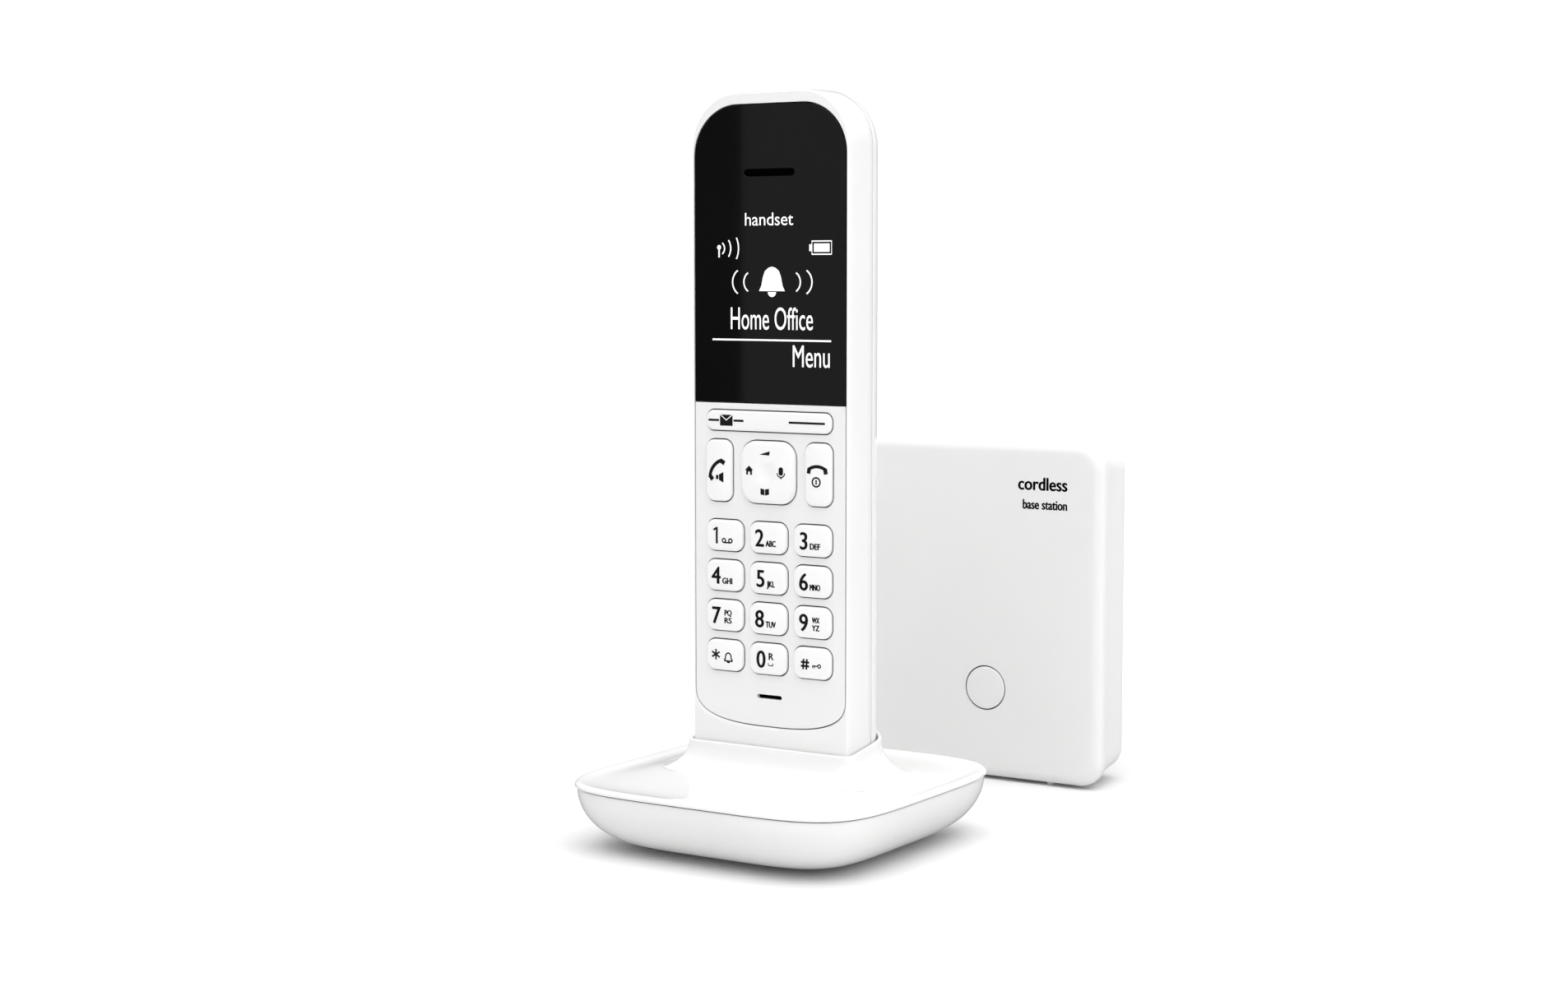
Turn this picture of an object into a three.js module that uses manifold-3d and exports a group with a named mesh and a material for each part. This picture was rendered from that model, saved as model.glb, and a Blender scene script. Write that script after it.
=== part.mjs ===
// Cordless telephone set: a handset standing in its charging cradle, and the base station
// box that the line plugs into. Millimetres, +Z up, +Y away from the user, +X to the right.
// The origin is the middle of the set's footprint, on the surface that it stands on.

import * as THREE from 'three';
import { mergeVertices } from 'three/addons/utils/BufferGeometryUtils.js';
import Module from 'manifold-3d';

const wasm = await Module();
wasm.setup();

// ---------------------------------------------------------------- clearances and walls
const GAP = 0.3; // between pieces that touch or slide past each other
const WALL = 1.8; // moulded shells of the handset
const BASE_WALL = 2; // moulded shells of the cradle and the station
const CUT = 3; // how far a cutter runs past the face that it opens
const ROOT = 0.4; // how far a joined rib or post runs into its wall

// ---------------------------------------------------------------- handset
const HANDSET_WIDTH = 48;
const HANDSET_HEIGHT = 176.3;
const HANDSET_DEPTH = 21.5;
const HANDSET_TOP_RADIUS = 14;
const HANDSET_FOOT_RADIUS = 7;
const PARTING_DEPTH = 11.3; // from the front face to the line between the two housings
const FRONT_EDGE = 0.55; // how far the side wall draws in at the front face
const BACK_ROLL = 12; // how far the sides draw in at the flat of the back

const FASCIA_WIDTH = HANDSET_WIDTH - 2; // recess that holds the lens and the keypad plate
const FASCIA_DEPTH = 1.3; // thickness of both
const FASCIA_TOP = HANDSET_HEIGHT - 3.45;
const FASCIA_TOP_RADIUS = 13;
const FASCIA_SHOULDER = 22.2; // where the bowed lower edge meets the straight sides
const FASCIA_FOOT = 12.9;
const FASCIA_BOW = 2.8; // exponent of the bowed lower edge
const LENS_FOOT = HANDSET_HEIGHT - 79.65;
const FRONT_WALL_INNER = 2.8; // depth of the front wall's inner face

const KEY_BACK = 3;
const KEY_EDGE = 0.6;
const ACTION_ROW = LENS_FOOT - 17.65; // height of the call, end and navigation keys
const LOWEST_ROW = 30.7;
const ROW_PITCH = (ACTION_ROW - 16.89 - LOWEST_ROW) / 3;
const NUMBER_KEY = { width: 11.3, height: 8.05, radius: 2.5, proud: 1.2, pitchX: 13.4 };
const ACTION_KEY = { width: 8, height: 16, radius: 2.5, proud: 1.2, x: 15.15, z: ACTION_ROW };
const NAV_KEY = { width: 16.4, height: 16.1, radius: 4.4, proud: 1.5, z: ACTION_ROW, back: 2.4 };
const NAV_DISH = { radius: 3.4, depth: 0.4 };
const NAV_PAD = { radius: 4, front: 2.7, back: 3.7 };
const SOFT_BAR = { width: 38, height: 5.2, radius: 2.1, proud: 0.8, z: LENS_FOOT - 4.6 };
const MIC_SLOT = { width: 8.4, height: 1.6, z: 20.7 };
const EAR_SLOT = { width: 16, height: 1.7, z: HANDSET_HEIGHT - 20.8 };

const BOARD_HALF = HANDSET_WIDTH / 2 - 3.5;
const LCD_TOP = HANDSET_HEIGHT - 28.3;
const KEYMAT = { front: 4, back: 5, halfWidth: BOARD_HALF, bottom: 25.2, top: LENS_FOOT + 0.35 };
const HANDSET_BOARD = { front: 5.3, back: 6.5, halfWidth: BOARD_HALF, bottom: 14, top: LCD_TOP };
const LCD = { halfWidth: 17.5, bottom: LCD_TOP - 42, top: LCD_TOP, front: 3.1, back: 5 };
const WINDOW_MARGIN = 1; // how far the window's edge covers the display glass
const LCD_FRAME = 2.2; // width of the holder round the display glass
const EARPIECE = { radius: 5.5, back: 6.2 };
const MICROPHONE = { radius: 2.4, back: 5 };
const RINGER = { radius: 9, z: HANDSET_HEIGHT - 18.3, front: 8.4, back: 13 };
const RINGER_SLOTS = { count: 5, width: 13, height: 1.3, pitch: 3.2 };

const CELL = { radius: 5.25, length: 44.5, bottom: 24, pitch: 11.4 };
const CELL_CAP = { radius: 1.9, height: 0.8 };
const WELL_FLOOR = 8.3; // depth of the battery well's floor, seen from the back
const WELL_MARGIN = 0.8;
const CELL_END_ROOM = 2.6; // room beyond each end of a cell for its contact
const CONTACT_THICKNESS = 0.5;
const SPRING = { radius: 3, length: 1.4 };
const LEDGE = { front: 12, back: 13.2, reach: 4 }; // shelf under the door that carries the well
const DOOR = { halfWidth: HANDSET_WIDTH / 2 - 6, bottom: 15, top: 98, radius: 4 };

const CHARGE_CONTACT = { x: 8, y: 6, width: 5, depth: 3, recess: 0.9, height: 1.6 };
const HANDSET_SCREW = { x: HANDSET_WIDTH / 2 - 6.8, z: 8.2, seat: 14.3, tip: 6.4 };
const SCREW = { headRadius: 2.5, headHeight: 1.8, shankRadius: 1.2 };

// ---------------------------------------------------------------- charging cradle
const CRADLE_WIDTH = 89.6;
const CRADLE_DEPTH = 89.2;
const CRADLE_SQUARE = 4.8; // exponent of the rounded-square outline
const SEAM_HEIGHT = 16.5;
const RIM_RISE = 1.5; // top edge of the cover above the seam
const DISH_DROP = 0.5; // how far the top dips between rim and neck
const TRAY_FLOOR = 1.3;
const TRAY_INSET = 16; // how far the bowl draws in at its flat bottom
const TRAY_RIM_STEP = 0.5; // how far the tray stands back from the cover's edge
const COLLAR_FRONT = 25.4; // height of the collar in front of the handset
const COLLAR_SLOPE = 0.158; // rise of the collar towards the back
const COLLAR_GAP = 0.45;
const COLLAR_WALL = 1.6;
const COLLAR_FRONT_SQUARE = 20; // nearly sharp corners in front, like the handset's
const COLLAR_REAR_SQUARE = 3.6; // and full rounds behind
const NECK_RADIUS = 8;
const NECK_SWELL = 0.4; // how far the foot of the neck stands above the rim
const COLLAR_ROUND = 0.9; // rounding of the collar's outer edge
const LIP_HEIGHT = 0.8; // lip that locates the cover in the tray
const HANDSET_LIFT = 18.3; // foot of the handset above the table
const HANDSET_FRONT_Y = -6.8; // front face of the handset, from the cradle's middle
const WELL_BASE = 2; // thickness of the floor that the handset stands on

const FOOT = { radius: 4.5, height: 1.8, x: CRADLE_WIDTH / 2 - 28.3, y: CRADLE_DEPTH / 2 - 28.1 };
const CRADLE_BOARD = { halfX: 18, front: -8, back: 9, bottom: 5.5, thickness: 1.4, postX: 15, postRadius: 2 };
const CRADLE_PIN = { width: 3, depth: 2, travel: 0.8 };
const CRADLE_SCREW = {
  x: CRADLE_WIDTH / 2 - 20.2,
  seat: 3.8,
  tip: 12.5,
  joint: 6.2,
  postRadius: 3,
  bossRadius: 4.6,
};
const INLET = { width: 11, height: 8, depth: 12, mouth: CRADLE_DEPTH / 2 - 6.6, bottom: 4.2 };
const INLET_POCKET = { width: 7.6, height: 5.6, depth: 9 };

// ---------------------------------------------------------------- base station box
const STATION_WIDTH = 84.2;
const STATION_TOP = 99.6;
const STATION_BOTTOM = 0.9;
const STATION_DEPTH = 26;
const STATION_RADIUS = 7;
const STATION_X = 1.1;
const STATION_Y = 100;
const STATION_COVER_DEPTH = 5;
const STATION_EDGE = { width: 4.5, depth: 3.6 }; // roll of the front cover's rim
const STATION_STEP = 0.8; // how far the rear shell stands back from the front cover
const STATION_TAPER = 1.7;
const STATION_ROLL = 7;
const NUB = { radius: 1.1, x: STATION_WIDTH / 2 - 17.1, frontY: 3.8, rearY: 18 };
const PAGER = { radius: 6.3, x: 5.3, z: 27.2, proud: 0.2, back: 5.2 };
const STATION_BOARD = {
  halfX: STATION_WIDTH / 2 - 8.1,
  bottom: 6,
  top: STATION_TOP - 19.6,
  front: 10,
  back: 11.5,
};
const SWITCH = { half: 3, front: 6.4 };
const STATION_SCREW = {
  x: STATION_WIDTH / 2 - 12.1,
  z: STATION_TOP - 11.6,
  seat: 17.6,
  tip: 4.6,
  joint: 9.6,
  postRadius: 3.4,
};
const LINE_JACK = { x: -16, width: 13, height: 11, pocketWidth: 9, pocketHeight: 7 };
const POWER_JACK = { x: 12, width: 11, height: 9, pocketWidth: 7.6, pocketHeight: 5.6 };
const JACK = { front: 12, back: 25.4, centreZ: 18, pocketDepth: 10 };

// ---------------------------------------------------------------- finishes
const FINISHES = {
  glossWhite: { color: 0xf4f4f4, roughness: 0.22, metalness: 0 },
  satinWhite: { color: 0xe9eaeb, roughness: 0.45, metalness: 0 },
  lensBlack: { color: 0x1d1e21, roughness: 0.08, metalness: 0 },
  darkPlastic: { color: 0x2a2a2c, roughness: 0.5, metalness: 0 },
  silicone: { color: 0x9a9da1, roughness: 0.8, metalness: 0 },
  rubber: { color: 0x3b3c3e, roughness: 0.9, metalness: 0 },
  board: { color: 0x1f5c37, roughness: 0.5, metalness: 0 },
  steel: { color: 0xb9bcc0, roughness: 0.3, metalness: 1 },
  gold: { color: 0xd8b15a, roughness: 0.25, metalness: 1 },
  cell: { color: 0x3f6f4d, roughness: 0.35, metalness: 0.3 },
  glass: { color: 0x2b3033, roughness: 0.1, metalness: 0 },
};

const ARC_STEPS = 5; // segments in a quarter round of a shell
const CURVE_STEPS = 1; // fineness of the rounds on a key, a slot or a board
const FASCIA_STEPS = 3; // fineness of the rounds on the lens and the keypad plate
const RING_POINTS = 40; // points round a cradle outline
const ROUND = 16; // segments round a pin or a disc
const MERGE_TOLERANCE = 1e-4;

// ---------------------------------------------------------------- solids and booleans
function toSolid(geometry) {
  const bare = geometry.clone();
  const extras = Object.keys(bare.attributes).filter((name) => name !== 'position');
  extras.forEach((name) => bare.deleteAttribute(name));
  const merged = mergeVertices(bare, MERGE_TOLERANCE);
  const corners = merged.index.array;
  const triangles = [];
  for (let i = 0; i < corners.length; i += 3) {
    const [a, b, c] = [corners[i], corners[i + 1], corners[i + 2]];
    if (a !== b && b !== c && c !== a) triangles.push(a, b, c);
  }
  const vertProperties = Float32Array.from(merged.attributes.position.array);
  const triVerts = Uint32Array.from(triangles);
  return new wasm.Manifold(new wasm.Mesh({ numProp: 3, vertProperties, triVerts }));
}

function toGeometry(solid) {
  const mesh = solid.getMesh();
  const geometry = new THREE.BufferGeometry();
  geometry.setAttribute('position', new THREE.BufferAttribute(Float32Array.from(mesh.vertProperties), 3));
  geometry.setIndex(new THREE.BufferAttribute(Uint32Array.from(mesh.triVerts), 1));
  geometry.computeVertexNormals();
  return geometry;
}

function cut(body, ...cutters) {
  return cutters.reduce((left, cutter) => left.subtract(cutter), body);
}

function join(body, ...others) {
  return others.reduce((sum, other) => sum.add(other), body);
}

// A box between two corners.
function block([x0, x1], [y0, y1], [z0, z1]) {
  const box = new THREE.BoxGeometry(x1 - x0, y1 - y0, z1 - z0);
  return toSolid(box.translate((x0 + x1) / 2, (y0 + y1) / 2, (z0 + z1) / 2));
}

// A round pin along Y or along Z.
function pinY(radius, front, back, x, z) {
  const pin = new THREE.CylinderGeometry(radius, radius, back - front, ROUND);
  return toSolid(pin.translate(x, (front + back) / 2, z));
}

function pinZ(radius, bottom, top, x, y) {
  const pin = new THREE.CylinderGeometry(radius, radius, top - bottom, ROUND).rotateX(Math.PI / 2);
  return toSolid(pin.translate(x, y, (bottom + top) / 2));
}

// A shape drawn in X and Z, extruded from one depth to another, with its edges eased.
function upright(shape, front, back, edge = 0, curveSegments = CURVE_STEPS) {
  const geometry = new THREE.ExtrudeGeometry(shape, {
    depth: back - front - 2 * edge,
    bevelEnabled: edge > 0,
    bevelThickness: edge,
    bevelSize: edge,
    bevelOffset: -edge,
    bevelSegments: 1,
    curveSegments,
  });
  return toSolid(geometry.translate(0, 0, edge).rotateX(Math.PI / 2).translate(0, back, 0));
}

function roundedShape(width, height, radius, x = 0, z = 0) {
  const [right, top] = [width / 2, height / 2];
  const shape = new THREE.Shape();
  shape.absarc(x + right - radius, z + top - radius, radius, 0, Math.PI / 2);
  shape.absarc(x - right + radius, z + top - radius, radius, Math.PI / 2, Math.PI);
  shape.absarc(x - right + radius, z - top + radius, radius, Math.PI, Math.PI * 1.5);
  shape.absarc(x + right - radius, z - top + radius, radius, Math.PI * 1.5, Math.PI * 2);
  shape.closePath();
  return shape;
}

// A body lofted through closed rings of points; each end is closed to the ring's middle.
function loft(rings) {
  const points = rings[0].length;
  const profile = [0, ...rings.map(() => 1), 0].map((radius, level) => new THREE.Vector2(radius, level));
  const geometry = new THREE.LatheGeometry(profile, points);
  const middle = (ring) => {
    const sum = ring.reduce((total, point) => total.add(point), new THREE.Vector3());
    return sum.divideScalar(points);
  };
  const caps = [middle(rings[0]), middle(rings[rings.length - 1])];
  for (let i = 0; i <= points; i += 1) {
    for (let level = 0; level < profile.length; level += 1) {
      let point = level === 0 ? caps[0] : caps[1];
      if (level > 0 && level <= rings.length) point = rings[level - 1][i % points];
      geometry.attributes.position.setXYZ(i * profile.length + level, point.x, point.y, point.z);
    }
  }
  const solid = toSolid(geometry);
  if (solid.volume() > 0) return solid;
  const corners = geometry.index.array;
  for (let i = 0; i < corners.length; i += 3) {
    [corners[i], corners[i + 1]] = [corners[i + 1], corners[i]];
  }
  return toSolid(geometry);
}

// A ring at one depth, with its lower and upper corners rounded.
function uprightRing(depth, halfWidth, bottom, top, lowRadius, highRadius) {
  const corners = [
    [halfWidth - highRadius, top - highRadius, highRadius, 0],
    [-halfWidth + highRadius, top - highRadius, highRadius, 1],
    [-halfWidth + lowRadius, bottom + lowRadius, lowRadius, 2],
    [halfWidth - lowRadius, bottom + lowRadius, lowRadius, 3],
  ];
  return corners.flatMap(([x, z, radius, quarter]) =>
    Array.from({ length: ARC_STEPS + 1 }, (_, step) => {
      const angle = ((quarter + step / ARC_STEPS) * Math.PI) / 2;
      return new THREE.Vector3(x + radius * Math.cos(angle), depth, z + radius * Math.sin(angle));
    }),
  );
}

// A level ring whose front and rear halves are each half a rounded square; height may
// change with Y.
function levelRing({ halfX, front, rear, middleY, frontSquare, rearSquare }, height) {
  return Array.from({ length: RING_POINTS }, (_, i) => {
    const angle = (i * 2 * Math.PI) / RING_POINTS;
    const [sine, cosine] = [Math.sin(angle), Math.cos(angle)];
    const exponent = 2 / (sine < 0 ? frontSquare : rearSquare);
    const reach = sine < 0 ? front : rear;
    const x = halfX * Math.sign(cosine) * Math.abs(cosine) ** exponent;
    const y = middleY + reach * Math.sign(sine) * Math.abs(sine) ** exponent;
    return new THREE.Vector3(x, y, height(y));
  });
}

const set = new THREE.Group();
const handset = new THREE.Group();
const cradle = new THREE.Group();
const station = new THREE.Group();
set.add(cradle, station);
cradle.add(handset);

function addPart(group, name, solid, finish) {
  const mesh = new THREE.Mesh(toGeometry(solid), new THREE.MeshStandardMaterial(FINISHES[finish]));
  mesh.name = name;
  group.add(mesh);
}

function screw(seat, tip) {
  const outward = Math.sign(seat - tip);
  const head = [seat, seat + outward * SCREW.headHeight].sort((a, b) => a - b);
  const shank = [tip, seat + outward * ROOT].sort((a, b) => a - b);
  return { head, shank };
}

function screwY(seat, tip, x, z) {
  const { head, shank } = screw(seat, tip);
  return join(pinY(SCREW.headRadius, ...head, x, z), pinY(SCREW.shankRadius, ...shank, x, z));
}

function screwZ(seat, tip, x, y) {
  const { head, shank } = screw(seat, tip);
  return join(pinZ(SCREW.headRadius, ...head, x, y), pinZ(SCREW.shankRadius, ...shank, x, y));
}

const HEAD_BORE = SCREW.headRadius + GAP;
const SLEEVE = HEAD_BORE + 1; // outside of the moulded sleeve round a sunk screw head
const SHANK_BORE = SCREW.shankRadius + GAP;

// ---------------------------------------------------------------- handset shells
const LEAST_RADIUS = 1.5; // corners never draw in to less than this
const ROLL_FLATNESS = 0.9; // share of the roll that the inner face follows

// How far the outside draws in from the full width at each depth.
function handsetInset(depth) {
  if (depth <= PARTING_DEPTH) {
    const rise = 1 - depth / PARTING_DEPTH;
    return FRONT_EDGE * rise ** 4;
  }
  const reach = Math.min((depth - PARTING_DEPTH) / (HANDSET_DEPTH - PARTING_DEPTH), 1);
  return BACK_ROLL * (1 - Math.sqrt(1 - reach ** 2));
}

function handsetRing(depth, inset) {
  const half = HANDSET_WIDTH / 2 - inset;
  const low = Math.max(HANDSET_FOOT_RADIUS - inset, LEAST_RADIUS);
  const high = Math.max(HANDSET_TOP_RADIUS - inset, LEAST_RADIUS);
  return uprightRing(depth, half, inset, HANDSET_HEIGHT - inset, low, high);
}

function fasciaShape(inset, foot, top) {
  const half = FASCIA_WIDTH / 2 - inset;
  const shape = new THREE.Shape();
  if (top === FASCIA_TOP) {
    const radius = FASCIA_TOP_RADIUS - inset;
    shape.absarc(half - radius, top - inset - radius, radius, 0, Math.PI / 2);
    shape.absarc(-half + radius, top - inset - radius, radius, Math.PI / 2, Math.PI);
  } else {
    shape.moveTo(half, top);
    shape.lineTo(-half, top);
  }
  if (foot > FASCIA_FOOT) {
    shape.lineTo(-half, foot);
    shape.lineTo(half, foot);
  } else {
    const steps = 4 * FASCIA_STEPS;
    for (let i = 0; i <= steps; i += 1) {
      const angle = Math.PI * (1 + i / steps);
      const x = Math.sign(Math.cos(angle)) * Math.abs(Math.cos(angle)) ** (2 / FASCIA_BOW);
      const drop = Math.abs(Math.sin(angle)) ** (2 / FASCIA_BOW);
      shape.lineTo(half * x, FASCIA_SHOULDER - (FASCIA_SHOULDER - FASCIA_FOOT - inset) * drop);
    }
  }
  shape.closePath();
  return shape;
}

const KEY_NAMES = [
  ['key_star', 'key_0', 'key_hash'],
  ['key_7', 'key_8', 'key_9'],
  ['key_4', 'key_5', 'key_6'],
  ['key_1', 'key_2', 'key_3'],
];
const numberKeys = KEY_NAMES.flatMap((names, row) =>
  names.map((name, column) => ({
    name,
    ...NUMBER_KEY,
    x: (column - 1) * NUMBER_KEY.pitchX,
    z: LOWEST_ROW + row * ROW_PITCH,
  })),
);
const actionKeys = [
  { name: 'call_key', ...ACTION_KEY, x: -ACTION_KEY.x },
  { name: 'end_key', ...ACTION_KEY },
];
const plainKeys = [...numberKeys, ...actionKeys];
const faceOpenings = [...plainKeys, { ...NAV_KEY, x: 0 }, { ...SOFT_BAR, x: 0 }];

function keyShape({ width, height, radius, x, z }, grow) {
  return roundedShape(width + 2 * grow, height + 2 * grow, radius + grow, x, z);
}

function slotShape({ width, height, z }, grow = 0) {
  return roundedShape(width + 2 * grow, height + 2 * grow, height / 2 + grow - 0.01, 0, z);
}

function frontHousing() {
  const inner = PARTING_DEPTH - GAP / 2;
  const depths = [0, 0.5, 1.4, 3.2, 6, inner];
  const outside = depths.map((depth) => handsetRing(depth, handsetInset(depth)));
  const inside = [inner, FRONT_WALL_INNER].map((depth) => handsetRing(depth, WALL));
  const shell = loft([...outside, ...inside]);
  const recess = upright(fasciaShape(0, FASCIA_FOOT, FASCIA_TOP), -CUT, FASCIA_DEPTH + GAP, 0, FASCIA_STEPS);
  const openings = faceOpenings.map((key) => upright(keyShape(key, GAP), 0, FRONT_WALL_INNER + CUT));
  const slots = [EAR_SLOT, MIC_SLOT].map((slot) => upright(slotShape(slot), 0, FRONT_WALL_INNER + CUT));
  const windowHeight = LCD.top - LCD.bottom - 2 * WINDOW_MARGIN;
  const windowMiddle = (LCD.top + LCD.bottom) / 2;
  const windowWidth = 2 * (LCD.halfWidth - WINDOW_MARGIN);
  const windowShape = roundedShape(windowWidth, windowHeight, WINDOW_MARGIN, 0, windowMiddle);
  const window = upright(windowShape, 0, FRONT_WALL_INNER + CUT);
  const sides = [-1, 1];
  const posts = sides.map((side) =>
    pinY(SCREW.shankRadius + WALL, FRONT_WALL_INNER - ROOT, inner, side * HANDSET_SCREW.x, HANDSET_SCREW.z),
  );
  const bores = sides.map((side) =>
    pinY(SHANK_BORE, HANDSET_SCREW.tip - GAP, inner + CUT, side * HANDSET_SCREW.x, HANDSET_SCREW.z),
  );
  const pockets = sides.map((side) => chargePocket(side));
  return cut(join(shell, ...posts), recess, ...openings, ...slots, window, ...bores, ...pockets);
}

function chargePocket(side) {
  const { x, y, width, depth } = CHARGE_CONTACT;
  const halfX = width / 2 + GAP;
  const halfY = depth / 2 + GAP;
  return block([side * x - halfX, side * x + halfX], [y - halfY, y + halfY], [-CUT, WALL + CUT]);
}

function doorShape(grow) {
  const height = DOOR.top - DOOR.bottom;
  const middle = (DOOR.top + DOOR.bottom) / 2;
  return roundedShape(2 * (DOOR.halfWidth + grow), height + 2 * grow, DOOR.radius + grow, 0, middle);
}

// The rear half of the handset's casing before the door is parted from it.
function backShell() {
  const outer = PARTING_DEPTH + GAP / 2;
  const reach = HANDSET_DEPTH - PARTING_DEPTH;
  const depths = [outer, PARTING_DEPTH + 0.3 * reach];
  for (let i = 4; i <= 9; i += 1) {
    depths.push(PARTING_DEPTH + reach * Math.sin((i * Math.PI) / 18));
  }
  const outside = depths.reverse().map((depth) => handsetRing(depth, handsetInset(depth)));
  const innerReach = reach - WALL;
  const inside = [0, 3, 5, 7, 9].map((i) => {
    const depth = i === 0 ? outer : PARTING_DEPTH + innerReach * Math.sin((i * Math.PI) / 18);
    return handsetRing(depth, WALL + BACK_ROLL * (1 - Math.cos((i * Math.PI) / 18)) * ROLL_FLATNESS);
  });
  return loft([...outside, ...inside]);
}

const wellHalf = CELL.pitch / 2 + CELL.radius + WELL_MARGIN;
const wellBottom = CELL.bottom - CELL_END_ROOM;
const wellTop = CELL.bottom + CELL.length + CELL_END_ROOM;

function backCover(shell) {
  const doorway = upright(doorShape(GAP), PARTING_DEPTH - 1, HANDSET_DEPTH + CUT);
  const halfLedge = HANDSET_WIDTH / 2 - WALL + ROOT;
  const ledge = block(
    [-halfLedge, halfLedge],
    [LEDGE.front, LEDGE.back],
    [DOOR.bottom - LEDGE.reach, DOOR.top + LEDGE.reach],
  );
  const wallOut = WALL - GAP;
  const well = block(
    [-wellHalf - wallOut, wellHalf + wallOut],
    [WELL_FLOOR - wallOut, LEDGE.back],
    [wellBottom - wallOut, wellTop + wallOut],
  );
  const hollow = block([-wellHalf, wellHalf], [WELL_FLOOR, HANDSET_DEPTH], [wellBottom, wellTop]);
  const sides = [-1, 1];
  const outer = PARTING_DEPTH + GAP / 2;
  const limit = loft([
    handsetRing(outer, 0.5),
    handsetRing(HANDSET_DEPTH - 4, handsetInset(HANDSET_DEPTH - 4) + 0.5),
    handsetRing(HANDSET_DEPTH - 1, handsetInset(HANDSET_DEPTH - 1) + 0.5),
  ]);
  const posts = sides.map((side) =>
    pinY(SLEEVE, outer, HANDSET_DEPTH, side * HANDSET_SCREW.x, HANDSET_SCREW.z).intersect(limit),
  );
  const heads = sides.map((side) =>
    pinY(HEAD_BORE, HANDSET_SCREW.seat - GAP, HANDSET_DEPTH + CUT, side * HANDSET_SCREW.x, HANDSET_SCREW.z),
  );
  const bores = sides.map((side) =>
    pinY(SHANK_BORE, outer - CUT, HANDSET_SCREW.seat, side * HANDSET_SCREW.x, HANDSET_SCREW.z),
  );
  const { count, width, height, pitch } = RINGER_SLOTS;
  const slots = Array.from({ length: count }, (_, i) => {
    const z = RINGER.z + (i - (count - 1) / 2) * pitch;
    const slot = roundedShape(width, height, height / 2 - 0.01, 0, z);
    return upright(slot, RINGER.back + GAP, HANDSET_DEPTH + CUT);
  });
  const casing = join(shell.subtract(doorway), ledge, well, ...posts);
  return cut(casing, hollow, ...heads, ...bores, ...slots);
}

function handsetParts() {
  const shell = backShell();
  addPart(handset, 'handset_front_housing', frontHousing(), 'glossWhite');
  addPart(handset, 'handset_back_cover', backCover(shell), 'glossWhite');
  const door = shell.intersect(upright(doorShape(0), LEDGE.back + GAP, HANDSET_DEPTH + CUT));
  addPart(handset, 'battery_door', door, 'glossWhite');

  const lens = cut(
    upright(fasciaShape(GAP / 2, LENS_FOOT + GAP / 2, FASCIA_TOP), 0, FASCIA_DEPTH, 0, FASCIA_STEPS),
    upright(slotShape(EAR_SLOT), -CUT, CUT),
  );
  addPart(handset, 'display_lens', lens, 'lensBlack');
  const plateHoles = faceOpenings.map((key) => upright(keyShape(key, GAP), -CUT, CUT));
  const plate = cut(
    upright(fasciaShape(GAP / 2, FASCIA_FOOT, LENS_FOOT - GAP / 2), 0, FASCIA_DEPTH),
    ...plateHoles,
    upright(slotShape(MIC_SLOT), -CUT, CUT),
  );
  addPart(handset, 'keypad_plate', plate, 'satinWhite');
}

function keyParts() {
  plainKeys.forEach((key) => {
    addPart(handset, key.name, upright(keyShape(key, 0), -key.proud, KEY_BACK, KEY_EDGE), 'glossWhite');
  });
  const bar = upright(keyShape({ ...SOFT_BAR, x: 0 }, 0), -SOFT_BAR.proud, KEY_BACK, KEY_EDGE);
  addPart(handset, 'soft_key_bar', bar, 'glossWhite');
  const cap = upright(keyShape({ ...NAV_KEY, x: 0 }, 0), -NAV_KEY.proud, NAV_KEY.back, KEY_EDGE);
  const dish = pinY(NAV_DISH.radius, -CUT, NAV_DISH.depth - NAV_KEY.proud, 0, NAV_KEY.z);
  addPart(handset, 'nav_key', cut(cap, dish), 'glossWhite');
  addPart(handset, 'nav_pad', pinY(NAV_PAD.radius, NAV_PAD.front, NAV_PAD.back, 0, NAV_KEY.z), 'silicone');
}

function slab({ halfWidth, front, back, bottom, top }, radius = 1.5) {
  return upright(roundedShape(2 * halfWidth, top - bottom, radius, 0, (top + bottom) / 2), front, back);
}

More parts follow.
